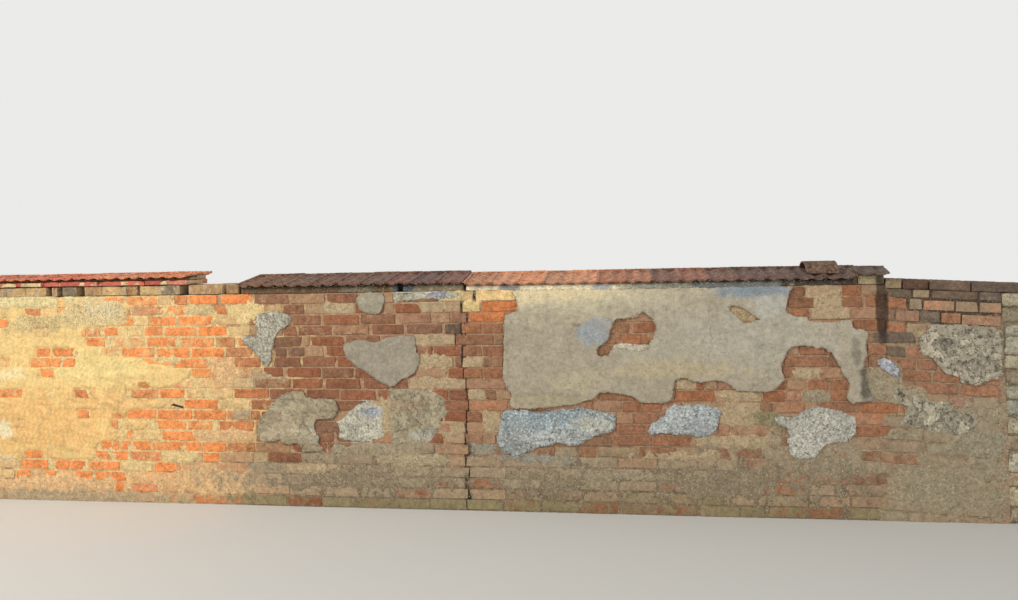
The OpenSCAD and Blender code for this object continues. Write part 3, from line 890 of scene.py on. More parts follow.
def varied(colour: Colour, draws: random.Random, spread: float = 0.14) -> Colour:
    """A colour made a little lighter or darker, and a little redder or paler."""
    level, warmth = 1 + draws.uniform(-spread, spread), draws.uniform(-0.09, 0.09)
    return (min(1, colour[0] * level * (1 + warmth)), min(1, colour[1] * level),
            min(1, colour[2] * level * (1 - warmth)))


@dataclass(frozen=True)
class Known:
    """A brick whose place is known: its ends in stretchers and its tone."""

    start: float
    end: float
    tone: Tone
    clean: bool = True


def read_course(line: str) -> list[Known]:
    """Reads known bricks such as "0.3-1.3y", a start, an end and a tone's letter each."""
    bricks = []
    for word in line.split():
        start, end = word[:-1].rsplit("-", 1)
        bricks.append(Known(float(start), float(end), TONES[word[-1]]))
    return bricks


@dataclass
class Brickwork:
    """The bricks and mortar of one bay."""

    name: str
    node: str
    ruler: Ruler
    start: float
    end: float
    known: dict[int, str]
    tones: Callable[[float, float], str]
    smears: list[Smear]
    mortar: Colour
    seed: int
    courses: int = 20
    cell: float = 0.0138
    tilt: float = 0.0
    leaf: float = 0.138
    joint: float = 0.044
    core_inset: float = 0.006
    flush: float = 0.12
    grime: Sequence[Smear] = ()
    paler: Colour = (1, 1, 1)

    def starts(self, course: int) -> float:
        """Where a course starts, in stretchers."""
        return self.start

    def ends(self, course: int) -> float:
        """Where a course ends, in stretchers."""
        return self.end

    def fill(self, start: float, end: float, course: int, draws: random.Random) -> list[Known]:
        """Fills a stretch of a course with stretchers and headers that fit it.

        Args:
            start: Where the stretch starts, joint left out.
            end: Where it ends.
            course: The course.
            draws: Random lengths and tones.

        Returns:
            The bricks.
        """
        length = end - start
        if length < 0.16:
            return []
        whole = int((length + self.joint) // 0.99)
        rest = length + self.joint - whole
        parts = [0.95] * whole
        if rest > 0.72:
            parts.append(rest - self.joint)
        elif rest > 0.26 or not parts:
            parts.append(max(0.12, rest - self.joint))
        draws.shuffle(parts)
        stretch = (length - self.joint * (len(parts) - 1)) / sum(parts)
        bricks, at = [], start
        for part in parts:
            width = part * stretch
            tone = TONES[draws.choice(self.tones(at + width / 2, course))]
            bricks.append(Known(at, at + width, tone, False))
            at += width + self.joint
        return bricks

    def front_course(self, course: int, draws: random.Random) -> list[Known]:
        """Bricks of a course on the garden side, the known ones in their places."""
        bricks: list[Known] = []
        at, limit = self.starts(course), self.ends(course)
        for brick in read_course(self.known.get(course, "")):
            if brick.start > limit or brick.end < at:
                continue
            if not bricks and abs(brick.start - at) < 0.16:
                brick = replace(brick, start=at)
            bricks += self.fill(at, brick.start - self.joint, course, draws)
            bricks.append(brick)
            at = brick.end + self.joint
        if bricks and abs(limit - bricks[-1].end) < 0.2:
            return [*bricks[:-1], replace(bricks[-1], end=limit)]
        return bricks + self.fill(at, limit, course, draws)

    def back_course(self, course: int, draws: random.Random) -> list[Known]:
        """Bricks of a course on the far side, in plain bond."""
        at, limit = self.starts(course), self.ends(course)
        size, bricks = (0.45 if course % 2 else 0.95), []
        while limit - at > 0.1:
            end = at + size if limit - at - size > 0.2 else limit
            bricks.append(Known(at, end, TONES[draws.choice("rrbrbbptr")]))
            at, size = end + self.joint, 0.95
        return bricks

    def block(self, brick: Known, course: int, side: int, draws: random.Random) -> Block:
        """Places a brick.

        Args:
            brick: The brick.
            course: Its course from the head.
            side: -1 on the garden side, 1 on the far side.
            draws: Random wear.

        Returns:
            The block in metres.
        """
        x0, top = self.ruler.place(brick.start, course)
        x1 = x0 + (brick.end - brick.start) * WALL.stretcher
        middle = (x0 + x1) / 2
        sway = 0.0035 * math.sin(middle * 2.3 + course * 0.7) + draws.uniform(-0.0015, 0.0015)
        half_joint = 0.0065
        z1 = top - half_joint + draws.uniform(-0.0025, 0.002) + sway
        z0 = top - WALL.course + half_joint + draws.uniform(-0.002, 0.0025) + sway
        out = WALL.face + draws.uniform(-0.002, 0.002)
        inner = out - self.leaf
        y0, y1 = (-out, -inner) if side < 0 else (inner, out)
        spot = np.array([middle]), np.array([(z0 + z1) / 2])
        share = float(covered(*spot, self.smears, self.ruler)[0]) if side < 0 else 0
        smear = tuple(tinted(*spot, self.mortar, self.smears if side < 0 else (), self.ruler)[0])
        wiped = brick.tone.washed + share * (0.26 if brick.clean else 0.75) + draws.gauss(0.02, 0.1)
        clay = varied(brick.tone.clay, draws)
        # Garden-face bricks are paled by the bay's gains, and in the left bay also painted with sunlight.
        if side < 0:
            clay = self.paled_and_sunlit(middle, clay)
        pivot = Vector((WALL.right, 0, WALL.sunken_rows))
        turn = self.tilt + draws.gauss(0, 0.004)
        if not self.tilt:
            pivot = Vector((middle, 0, (z0 + z1) / 2))
        low, high = Vector((x0, y0, z0)), Vector((x1, y1, z1))
        return Block(low, high, clay, smear, min(1, max(0, wiped)), turn, pivot)

    def paled_and_sunlit(self, x: float, clay: Colour) -> Colour:
        """The clay's colour at a place along the wall, paler by the bay's gains."""
        return tuple(min(0.88, value * gain) for value, gain in zip(clay, self.paler))

    def blocks(self) -> list[Block]:
        """All bricks of the bay, on both sides."""
        draws = random.Random(self.seed)
        made = []
        for course in range(self.courses):
            made += [self.block(brick, course, -1, draws) for brick in self.front_course(course, draws)]
            made += [self.block(brick, course, 1, draws) for brick in self.back_course(course, draws)]
        return made

    def build_bricks(self, shapes: Shapes, finish: Material) -> Piece:
        """Lays the bricks and dresses them."""
        bricks = lay_blocks(f"{self.name}_bricks", self.blocks(), shapes, self.seed)
        self.trim(bricks)
        return finish_piece(bricks, finish)

    def trim(self, piece: Piece) -> None:
        """Cuts a piece level with the ground."""
        slice_off(piece, GROUND)

    def core_edges(self) -> Triple:
        """Left end, right end and top of the mortar, in metres."""
        left, right = self.ruler.place(self.start, 0)[0], self.ruler.place(self.end, 0)[0]
        return left + self.core_inset, right - self.core_inset, WALL.head - 0.004

    def build_mortar(self, finish: Material) -> Piece:
        """Models the mortar between and over the bricks as one body with two rough faces."""
        left, right, top = self.core_edges()
        low_y = 0.0095
        piece = upright_sheet(f"{self.name}_mortar", (left, 0), (right, top), -(WALL.face - low_y), self.cell)
        apply_modifier(piece, "SOLIDIFY", thickness=2 * (WALL.face - low_y), offset=-1)
        self.shape_core(piece)
        co = corners(piece)
        front = co[:, 1] < 0
        x, z = co[:, 0], co[:, 2]
        cover = covered(x, z, self.smears, self.ruler)
        rise, full_joint, over_bricks = 0.0145, 0.5, 0.62
        filled = self.flush + (full_joint - self.flush) * np.minimum(1, cover / over_bricks)
        spread = np.clip((cover - over_bricks) / 0.25, 0, 1)
        height = np.where(front, filled + (1 - full_joint) * spread, 0.2)
        rough = sum(0.09 * ripple(x, z, size, self.seed + number)
                    for number, size in enumerate((0.09, 0.05, 0.032)))
        raise_surface(piece, "height", height + rough * np.where(front, 0.45 + spread, 0.5), rise)
        clean, dirty = (tinted(x, z, self.mortar, smears, self.ruler)
                        for smears in (self.smears, [*self.smears, *self.grime]))
        colours = dirty + (clean - dirty) * spread[:, None]
        colours = np.where(front[:, None], colours, np.array(GREY_TAN))
        set_colour(piece.data, "tint", colours)
        return finish_piece(piece, finish, [self.node], 60)

    def shape_core(self, piece: Piece) -> None:
        """Shapes the ends of the mortar body; a plain bay keeps its box."""


CRACK = (0.28, -0.08, 0.07, -0.1, -0.26, -0.07, -0.1, -0.06, 0.0, 0.04,
         0.06, 0.0, -0.03, -0.06, 0.04, -0.05, 0.05, -0.06, 0.03, -0.04)


def crack_at(course: int) -> float:
    """Where the crack crosses a course, in stretchers from the joint of the bays."""
    return CRACK[min(course, len(CRACK) - 1)]


def crack_half(course: int) -> float:
    """Half the crack's opening at a course, wider at the head, in stretchers."""
    return 0.034 if course < 3 else 0.016 - 0.0003 * course


def crack_grime(end: float) -> list[Smear]:
    """The dark of the crack, course by course, for a bay that meets it at this end."""
    return [Smear(end + crack_at(course), course + 0.5, 0.05, 0.62, chart(50, 42, 35), soft=0.8)
            for course in range(len(CRACK))]


class LeftBay(Brickwork):
    """The limed bay, which ends at the crack on its right."""

    def ends(self, course: int) -> float:
        """Where a course ends at the crack."""
        return self.end + crack_at(course) - crack_half(course)

    def paled_and_sunlit(self, x: float, clay: Colour) -> Colour:
        """The clay is paler and more orange on the limed side of the bay: painted sunlight."""
        share = min(1, max(0, (LEFT_RULER.place(9.6, 0)[0] - x) / 0.4))
        warm = [value + (orange - value) * 0.45 * share for value, orange in zip(clay, Tone.SUNLIT_ORANGE.clay)]
        return tuple(min(0.88, value * (1 + share * gain)) for value, gain in zip(warm, (0.65, 0.74, 0.55)))


class CentreBay(Brickwork):
    """The rendered bay, which starts at the crack and runs into the sunken bay."""

    def starts(self, course: int) -> float:
        """Where a course starts at the crack."""
        return self.start + crack_at(course) + crack_half(course)

    def ends(self, course: int) -> float:
        """Where a course ends: at the joint with the sunken bay, toothed."""
        return self.end - (0.02 if course % 2 else -0.03)


class SunkenBay(Brickwork):
    """The bay at the right, whose courses have sunk towards the pier."""

    def starts(self, course: int) -> float:
        """Where a row starts, clear of the bricks that reach over from the centre bay."""
        return {4: 0.72, 10: 0.4}.get(course, 0.05 if course % 2 else 0.0)

    def core_edges(self) -> Triple:
        """Left end, right end and top of the mortar."""
        return WALL.right - 0.008, WALL.pier + 0.012, WALL.sunken_head + 0.03

    def shape_core(self, piece: Piece) -> None:
        """Cuts the top along the sunken head."""
        slice_off(piece, under_slabs(0.004))

    def trim(self, piece: Piece) -> None:
        """Cuts the bricks at the ground, under the slabs and at the pier."""
        super().trim(piece)
        slice_off(piece, under_slabs(0.002), ((WALL.pier - 0.004, 0, 0), (1, 0, 0)))


def left_tones(along: float, down: float) -> str:
    """Letters of the tones that come up in the left bay."""
    # The sunlit side, left of about stretcher 8.3 to 8.5, gets orange bricks: painted sunlight.
    if down >= 14:
        return "oprttbt" if along < 8.5 else "bttgptr"
    return "ooorop" if along < 8.3 else "rrbrbbtrp"


def centre_tones(along: float, down: float) -> str:
    """Letters of the tones that come up in the centre bay."""
    return "bttrbpg" if down >= 13 else "rrbrptp"


def right_tones(along: float, down: float) -> str:
    """Letters of the tones that come up in the sunken bay."""
    if down < 3:
        return "dbgdb"
    return "ggtbg" if down >= 9 else "rrbpdt"


# Bricks read course by course: start and end in stretchers, and the letter of the tone
LEFT_KNOWN = {
    0: "0.0-0.9t 0.95-1.9t 1.95-2.9t 2.95-3.4y 6.1-6.48t 6.53-6.95b 7.02-7.85o 8.0-8.87o 8.95-9.95b "
       "10.02-10.98t 11.05-11.9r 12.68-12.9t 14.2-15.1y",
    1: "1.93-2.43b 2.47-2.98y 5.0-5.25b 6.3-6.97o 7.05-7.7t 7.75-8.17b 8.25-9.25t 9.3-9.75t 9.8-10.38b "
       "10.45-11.0t 11.05-11.8t 12.7-12.92t 12.97-13.66r 13.72-14.28t 14.33-14.78t",
    2: "0.9-1.4o 4.95-5.35o 5.85-6.62o 6.7-7.73o 7.8-8.75t 10.05-10.87b 10.95-11.92r 12.0-12.93b "
       "13.03-13.92p 14.02-14.45t 14.5-14.9p",
    3: "0.75-1.2o 2.3-2.72b 3.9-4.3p 4.35-4.85o 5.2-5.6p 5.66-6.2o 6.27-7.25o 7.3-8.12o 8.2-8.8t "
       "9.8-10.16b 10.22-11.16r 11.23-12.2b 12.28-13.17r 13.24-14.22b 14.32-14.75d",
    4: "3.87-4.45o 4.65-5.67p 5.75-6.7o 6.77-7.75o 7.82-8.36b 8.45-8.7o 9.52-10.3b 10.38-10.53t "
       "10.58-11.5r 11.57-12.5b 13.5-14.54t",
    5: "2.3-2.73o 2.82-3.56o 4.55-4.88p 4.97-5.95o 6.05-7.02o 7.08-8.03o 8.1-8.88b 9.55-9.88b "
       "9.93-10.4b 10.45-10.92t 10.98-11.6r 13.58-13.95r 14.0-14.78r",
    6: "0.75-1.45o 2.1-3.07o 3.12-3.52o 5.6-6.47o 6.55-7.57o 7.65-8.3p 8.35-9.1r 9.5-10.27r "
       "10.33-11.27r 11.32-12.2r 13.7-14.5t 14.57-14.78b",
    7: "0.85-1.22o 2.4-2.82o 7.08-7.8o 7.85-8.25p 8.3-8.85b 9.2-9.77r 9.85-10.82r 10.88-11.75b "
       "11.8-12.6r 13.5-14.33t 14.38-14.78r",
    8: "5.45-5.76o 6.5-7.27p 7.6-8.15t 8.2-8.9t 8.95-9.95b 10.03-10.9r 10.97-11.95r 12.02-12.75r "
       "13.3-14.0p 14.05-14.88t",
    9: "0.85-1.82o 3.48-3.92r 5.08-6.06r 6.12-6.86o 6.94-7.47p 7.55-8.27t 8.33-9.32r 9.38-10.35r "
       "10.4-11.32r 11.38-12.37r 12.43-12.9r 13.9-14.35r 14.4-14.83r",
    10: "5.9-6.75t 6.8-7.82o 7.87-8.78t 8.83-9.5r 11.2-12.1r 13.9-14.88r",
    11: "3.6-3.92o 5.05-5.98o 6.04-7.06o 7.12-8.06o 8.12-8.28r 8.33-8.75t 8.8-9.08r 14.25-14.8r",
    12: "5.86-6.88o 6.95-7.65o 7.88-8.87r 10.66-11.34b 14.1-14.4p 14.43-14.82t",
    13: "4.55-5.02p 5.3-6.1t 6.15-7.15o 7.2-7.9t 10.7-11.2b 14.25-14.78t",
    14: "4.2-4.6o 4.63-4.83o 4.87-5.22o 5.27-5.8o 5.86-6.8o 6.87-7.3o 7.34-8.05o 8.1-8.9b "
        "11.0-11.95b 12.0-12.95p",
    15: "1.9-2.45o 4.1-4.57o 4.62-5.1o 5.15-6.13p 6.2-6.95t 7.4-7.85o 11.3-12.25t 12.3-13.3g",
    16: "1.8-2.62o 2.82-3.27o 3.32-3.8o 3.86-4.85o 4.9-5.85t 5.93-6.7o",
    17: "1.6-2.05o 2.1-2.48p 2.52-2.85o 2.95-3.45p 3.5-4.0o 4.05-4.55o 4.6-5.07o 5.12-5.6p",
    18: "1.6-1.98t 2.0-3.0p 3.05-4.0t 4.05-5.0o",
    19: "3.5-4.1t",
}

# The orange bricks at the top left of the centre bay are partly painted sunlight on red bricks.
CENTRE_KNOWN = {
    0: "0.33-1.35y 8.24-8.72r 8.78-9.48t 9.54-9.97r 10.02-10.5t",
    1: "0.0-0.18y 0.22-0.41y 0.46-1.44o 8.24-8.85r 8.92-9.48t 9.54-10.0r 10.1-10.5r",
    2: "0.13-1.08o 8.3-8.72r 8.78-9.7t 9.76-10.38p",
    3: "-0.02-0.43r 0.48-1.08r 4.0-4.3b 4.42-4.98r 9.75-10.4r",
    4: "-0.21-0.75r 0.8-1.1b 3.7-4.08b 4.12-4.78r 10.25-11.2d",
    5: "0.02-0.44r 0.48-1.05r 3.55-3.85b 8.2-8.45t 8.5-9.22r 10.1-10.5r",
    6: "0.02-0.44t 0.48-1.0b 3.5-3.85b 8.12-9.14r 9.18-9.5r 10.1-10.5b",
    7: "0.02-0.44r 0.48-1.0r 8.05-8.37r 8.42-8.98t 9.03-9.6p",
    8: "0.14-1.06p 5.45-5.87t 5.9-6.12r 6.18-6.45t 6.5-7.0p 7.8-8.12r 8.16-8.62t 8.67-9.13r 9.18-9.65r",
    9: "0.04-0.46t 0.5-0.8b 0.84-1.2t 3.5-4.4b 5.4-6.42r 6.47-7.05t 7.58-8.1r 8.15-8.5p 8.55-9.12g "
       "9.18-9.58r",
    10: "0.13-1.12p 3.1-3.36b 3.4-4.05p 4.08-4.52r 4.56-5.05r 6.6-7.08t 7.1-7.5t 7.55-7.83b 7.88-8.55p "
        "9.9-10.92r",
    11: "0.03-0.42r 0.46-0.9t 3.9-4.35p 4.38-5.02r 6.45-7.45t 7.5-7.85g",
    12: "0.05-0.5t 3.88-4.62r 6.47-6.72p 6.77-7.65p 7.7-8.1g",
    13: "0.0-0.42b 0.47-0.76t 3.84-4.8r 4.85-5.82r 5.9-6.8t 6.85-7.75t",
    14: "0.08-0.7t 1.6-2.3b 2.35-2.9t 2.95-3.37b 3.42-4.4g 4.5-5.4b 5.5-6.05g 6.1-6.45t 6.5-7.5b 7.6-8.1t",
}

RIGHT_KNOWN = {
    0: "0.05-0.62d 0.66-1.02g 1.08-2.12d 2.16-2.62d",
    1: "0.03-0.5r 0.58-0.86g 0.9-1.6p 1.64-2.14t 2.18-2.6p",
    2: "0.27-0.8b 0.84-1.27d 1.32-1.75r 1.8-2.62p",
    3: "0.03-0.5r 0.54-0.97t 1.02-1.9t",
    4: "0.75-1.6t",
    5: "0.06-0.53d 0.57-1.1r",
    6: "0.2-0.75r 0.79-1.25r",
    7: "0.26-0.58r 0.63-1.12r 1.16-1.9r 2.2-2.6r",
    8: "0.4-0.7b 0.75-1.72r 1.8-2.57r",
    9: "1.57-2.02p 2.08-2.6g",
}

LEFT_SMEARS = [
    Smear(4.6, 9, 4.9, 12, SUNLIT_CREAM, 0.5), Smear(1.6, 0.4, 2.2, 0.7, chart(222, 204, 150), 0.9),
    Smear(14.8, 0.4, 0.5, 0.6, chart(214, 188, 138), 0.7, 0.3),
    Smear(8.7, 2.0, 0.65, 1.3, SUNLIT_CREAM, 0.72), Smear(8.1, 7.3, 0.6, 1.4, PEACH, 0.75),
    Smear(8.1, 13.4, 0.9, 0.7, PEACH, 0.9), Smear(8.5, 11.4, 0.3, 0.5, TAN_WASH, 0.8),
    Smear(9.0, 8.2, 0.5, 0.8, TAN_WASH, 0.7), Smear(6.3, 1.5, 0.5, 0.7, SUNLIT_CREAM, 0.7),
    Smear(7.35, 1.5, 0.35, 0.4, chart(212, 188, 138), 0.8), Smear(5.0, 4.0, 1.2, 0.9, SUNLIT_CREAM, 0.6),
    Smear(6.3, 6.2, 0.5, 0.5, SUNLIT_CREAM, 0.7), Smear(13.9, 4.5, 0.5, 0.6, TAN_WASH, 0.8),
    Smear(13.9, 6.4, 0.6, 0.8, TAN_WASH, 0.85), Smear(13.9, 8.3, 0.6, 0.5, TAN_WASH, 0.75),
    Smear(14.4, 12.6, 0.4, 0.9, TAN_WASH, 0.6), Smear(12.2, 14.6, 1.6, 0.6, GREY_TAN, 0.95),
    Smear(14.0, 1.3, 0.7, 0.5, TAN_WASH, 0.6), Smear(11.3, 1.4, 0.6, 0.5, TAN_WASH, 0.7),
    Smear(3.0, 18.4, 2.4, 1.0, PEACH, 0.85), Smear(6.8, 15.6, 0.7, 0.6, SUNLIT_CREAM, 0.85),
    Smear(7.7, 17.9, 2.0, 1.8, PEACH, 0.78), Smear(12, 17.2, 3.6, 2.3, GREY_TAN, 0.72, 0.8),
    Smear(13.4, 15.6, 1.1, 0.7, chart(176, 160, 128), 0.9), Smear(10.6, 16.4, 0.8, 0.5, TAN_WASH, 0.9),
    Smear(5.4, 16.5, 0.45, 0.5, SUNLIT_CREAM, 0.85), Smear(12, 19.5, 4.4, 0.7, OLIVE, 0.5),
    Smear(12.65, 11.5, 0.2, 2.0, TAN_WASH, 0.9), Smear(3.4, 19.6, 3.6, 0.7, TAN_WASH, 0.8),
]

CENTRE_SMEARS = [
    Smear(7.0, 11.2, 0.65, 1.1, TAN_WASH, 0.85), Smear(7.65, 11.4, 0.3, 0.8, OLIVE, 0.85),
    Smear(7.0, 13.5, 1.1, 0.8, TAN_WASH, 0.8), Smear(7.0, 9.5, 0.5, 0.45, TAN_WASH, 0.85),
    Smear(5.7, 8.6, 0.4, 0.4, TAN_WASH, 0.7), Smear(8.7, 7.6, 0.45, 0.5, TAN_WASH, 0.75),
    Smear(8.85, 9.5, 0.35, 0.5, GREY_TAN, 0.85), Smear(9.15, 1.5, 0.45, 1.3, TAN_WASH, 0.72),
    Smear(0.25, 6.4, 0.25, 0.4, TAN_WASH, 0.7), Smear(0.7, 12, 0.3, 1.0, TAN_WASH, 0.8),
    Smear(0.3, 9.4, 0.3, 0.4, TAN_WASH, 0.7), Smear(0.4, 14.3, 0.5, 0.5, GREY_WASH, 0.7),
    Smear(4.3, 5.3, 0.42, 0.42, WHITE_WASH, 1.0), Smear(10.3, 8.5, 0.35, 1.6, GREY_TAN, 0.95),
    Smear(2.4, 17, 2.6, 2.2, GREY_TAN, 0.72, 0.8), Smear(6.8, 17, 3.4, 2.4, GREY_TAN, 0.72, 0.8),
    Smear(9.0, 15, 1.6, 2.5, GREY_TAN, 0.75, 0.8), Smear(5, 19.4, 6.5, 0.9, OLIVE, 0.5),
    Smear(7.2, 2.2, 0.5, 0.9, chart(176, 154, 118), 1.0, 0.2), Smear(1.7, 15.2, 1.0, 0.5, GREY_WASH, 0.9),
    Smear(5.6, 14.8, 1.3, 0.45, TAN_WASH, 0.85), Smear(3.9, 16.6, 1.2, 0.5, GREY_TAN, 0.95),
    # These two warm smears at the top left of the centre bay are partly painted sunlight.
    Smear(0.2, 1.3, 0.2, 0.5, SUNLIT_CREAM, 0.85, 0.3), Smear(0.85, 0.3, 0.65, 0.5, chart(246, 210, 150), 0.7),
]

RIGHT_SMEARS = [
    Smear(2.1, 10.8, 0.6, 1.2, GREY_TAN, 0.8), Smear(2.0, 13.2, 0.7, 1.6, chart(158, 148, 124), 0.85),
    Smear(1.2, 4.0, 0.6, 0.5, TAN_WASH, 0.8), Smear(0.4, 9.2, 0.5, 0.8, GREY_TAN, 0.95),
    Smear(0.1, 7.6, 0.25, 1.3, GREY_TAN, 0.9), Smear(1.2, 17, 1.8, 2.8, GREY_TAN, 0.75),
]


# Top course, creasing, slabs, pier


BRICK_SHAPES = (
    BlockShape("stretcher_brick", (0.285, 0.138, 0.074), 0.0032, 0.0014, chip=0.009, variants=8),
    BlockShape("header_brick", (0.133, 0.138, 0.074), 0.0032, 0.0013, 2, chip=0.008),
)


@dataclass
class TopCourse:
    """The single course of tan bricks above the head of the left bay, with open gaps."""

    name: str = "top_course_bricks"
    node: str = "top_course_left"
    line: str = ("0.02-0.95y 1.0-1.36t 1.42-2.0y 2.04-2.6y 2.8-2.96p 3.14-3.56g 3.84-4.1t 4.13-4.35t "
                 "4.4-4.98y 5.02-5.44b 5.54-6.12y 6.17-6.72g 7.02-7.99t 8.14-8.49t")
    depth: float = 0.142
    seed: int = 41

    def build(self, shapes: Shapes, finish: Material, mortar: Material) -> None:
        """Lays the bricks, and shapes the mortar from the CAD course."""
        draws = random.Random(self.seed)
        blocks = []
        back_line = " ".join(f"{0.02 + 0.5 * spot:.2f}-{0.46 + 0.5 * spot:.2f}{draws.choice('ytbt')}"
                             for spot in range(17))
        for side, line in ((-1, self.line), (1, back_line)):
            for brick in read_course(line):
                x0, x1 = (LEFT_RULER.place(end, 0)[0] for end in (brick.start, brick.end))
                z0 = WALL.head + draws.uniform(0.006, 0.009)
                z1 = WALL.head + WALL.course - draws.uniform(0.002, 0.006)
                out = WALL.face + draws.uniform(-0.005, 0.001)
                y0, y1 = (-out, -out + self.depth) if side < 0 else (out - self.depth, out)
                clay = varied(brick.tone.clay, draws)
                blocks.append(Block(Vector((x0, y0, z0)), Vector((x1, y1, z1)), clay, chart(186, 150, 98),
                                    draws.uniform(0.15, 0.5), draws.gauss(0, 0.006),
                                    Vector(((x0 + x1) / 2, 0, z0))))
        finish_piece(lay_blocks(self.name, blocks, shapes, self.seed), finish, [self.node])
        core = mortar_core(self.node, "top_course_mortar", 0.009, 0.009, 0.006, TAN_WASH, self.seed)
        finish_piece(core, mortar, (), 60)


def cad_copy(node: str, name: str) -> Piece:
    """A merged copy of a CAD node's mesh as a new piece."""
    piece = new_object(name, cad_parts[node].data.copy())
    piece.data.materials.clear()
    with editing(piece, "SELECT"):
        bpy.ops.mesh.remove_doubles(threshold=1e-5)
        bpy.ops.mesh.dissolve_limited(angle_limit=math.radians(0.2))
        bpy.ops.mesh.select_all(action="SELECT")
        bpy.ops.mesh.normals_make_consistent(inside=False)
    return piece


def rough_mass(piece: Piece, cell: float, strength: float, tint: Colour, seed: int,
               attribute: str = "tint") -> None:
    """Turns a piece into a rough lump of its own shape, and paints it.

    Args:
        piece: The piece.
        cell: Size of its cells.
        strength: Height of its bumps.
        tint: Its colour.
        seed: Start of its colour's drift.
        attribute: Name under which the colour is stored.
    """
    focus(piece)
    piece.data.remesh_voxel_size = cell
    bpy.ops.object.voxel_remesh()
    roughen(piece, cell * 5, strength)
    roughen(piece, cell * 2.2, strength * 0.6)
    co = corners(piece)
    drift = 1 + 0.1 * ripple(co[:, 0], co[:, 2] + co[:, 1], 0.25, seed)
    set_colour(piece.data, attribute, np.array(tint) * drift[:, None], 0)


def mortar_core(node: str, name: str, inset: float, cell: float, bumps: float, tint: Colour,
                seed: int) -> Piece:
    """A rough body of mortar a little inside a CAD node's shape."""
    core = cad_copy(node, name)
    shrink(core, inset)
    rough_mass(core, cell, bumps, tint, seed)
    return core


@dataclass
class TileCreasing:
    """Flat tiles in a row under the left run, worn and chipped in front."""

    name: str = "creasing_tiles"
    node: str = "tile_creasing_left"
    mortar_name: str = "creasing_mortar"
    pitch: float = 0.175
    seed: int = 52

    def build(self, finish: Material, mortar: Material) -> None:
        """Lays the tiles in two leaves, one for each face, on their mortar."""
        low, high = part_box(self.node)
        draws = random.Random(self.seed)
        shape = BlockShape("flat_tile", (0.17, 0.2, 0.036), 0.005, 0.0022, 3, 0.02, 8)
        variants = shape.build(self.seed)
        blocks, at = [], low.x
        while at < high.x - 0.06:
            end = min(high.x, at + self.pitch * draws.uniform(0.75, 1.3))
            for side in (-1, 1):
                back = draws.choice((0, 0.002, 0.004, 0.007, 0.016))
                y0, y1 = (low.y + back, -0.005) if side < 0 else (0.005, high.y - back)
                z0 = low.z + draws.uniform(0.001, 0.005)
                clay = varied(chart(*draws.choice(((206, 112, 96), (214, 140, 112), (176, 92, 80)))), draws)
                blocks.append(Block(Vector((at + 0.003, y0, z0)), Vector((end - 0.004, y1, high.z - 0.001)),
                                    clay, TAN_WASH, 0.1, draws.gauss(0, 0.012), Vector((at, 0, low.z))))
            at = end
        finish_piece(lay_blocks(self.name, blocks, [(shape, variants)], self.seed), finish,
                     [self.node])
        core = mortar_core(self.node, self.mortar_name, 0.008, 0.009, 0.005, chart(214, 190, 144), self.seed)
        finish_piece(core, mortar, (), 60)


@dataclass
class CappingSlabs:
    """Large worn slabs in one row over the sunken bay and the pier."""

    name: str = "capping_slabs"
    node: str = "capping_slabs_right"
    cell: float = 0.011
    bumps: float = 0.009

    def build(self, finish: Material) -> None:
        """Roughens the CAD slabs one by one, each in its own colour."""
        whole = cad_copy(self.node, self.name)
        with editing(whole, "SELECT"):
            bpy.ops.mesh.separate(type="LOOSE")
        slabs = sorted(bpy.context.selected_objects, key=lambda slab: corners(slab)[:, 0].mean())
        colours = (chart(154, 134, 104), chart(98, 74, 60), chart(112, 92, 76), chart(110, 94, 80),
                   chart(118, 102, 86))
        for number, (slab, colour) in enumerate(zip(slabs, colours)):
            shrink(slab, 0.003)
            rough_mass(slab, self.cell, self.bumps, colour, 60 + number, "clay")
        finish_piece(join(self.name, slabs), finish, [self.node], 50)


@dataclass
class StonePier:
    """The pier of squared grey stones at the right end."""

    name: str = "pier"
    node: str = "end_pier_right"
    course: float = 0.128
    seed: int = 73

    def build(self, finish: Material, mortar: Material) -> None:
        """Lays the stones on both faces and the end, on a mortar core."""
        draws = random.Random(self.seed)
        shape = BlockShape("squared_stone", (0.26, 0.16, 0.112), 0.012, 0.0045, 3, 0.02, 8)
        variants = shape.build(self.seed)
        tones = ((156, 148, 126), (172, 160, 134), (138, 128, 108), (164, 144, 116), (186, 176, 152))
        blocks, bottom, row, half_joint = [], 0.004, 0, 0.006
        while bottom < WALL.sunken_head - 0.03:
            top = bottom + self.course * draws.uniform(0.72, 1.22)
            for side in (-1, 1):
                at = WALL.pier
                while at < WALL.end - 0.02:
                    end = at + draws.uniform(0.17, 0.34)
                    if WALL.end - end < 0.12:
                        end = WALL.end
                    out = WALL.face + draws.uniform(-0.008, 0.002)
                    y0, y1 = (-out, -0.008) if side < 0 else (0.008, out)
                    if row % 3 == 2 and end == WALL.end:
                        y0, y1 = -out, out
                    if not (side > 0 and row % 3 == 2 and end == WALL.end):
                        clay = varied(chart(*draws.choice(tones)), draws)
                        low = Vector((at + half_joint, y0, bottom + half_joint))
                        high = Vector((end - (half_joint if end < WALL.end else 0), y1, top - half_joint))
                        blocks.append(Block(low, high, clay, GREY_WASH, 0.2, draws.gauss(0, 0.01),
                                            Vector(((at + end) / 2, 0, (bottom + top) / 2))))
                    at = end
            bottom, row = top, row + 1
        stones = lay_blocks(f"{self.name}_stones", blocks, [(shape, variants)], self.seed)
        apply_modifier(stones, "SUBSURF", subdivision_type="SIMPLE", levels=2, render_levels=2)
        roughen(stones, 0.07, 0.009)
        roughen(stones, 0.025, 0.004)
        slice_off(stones, under_slabs(0.003), GROUND)
        finish_piece(stones, finish, [self.node], 60)
        core = mortar_core(self.node, f"{self.name}_mortar", 0.018, 0.016, 0.01, chart(134, 122, 98),
                           self.seed)
        slice_off(core, GROUND)
        finish_piece(core, mortar, (), 60)


# Coats


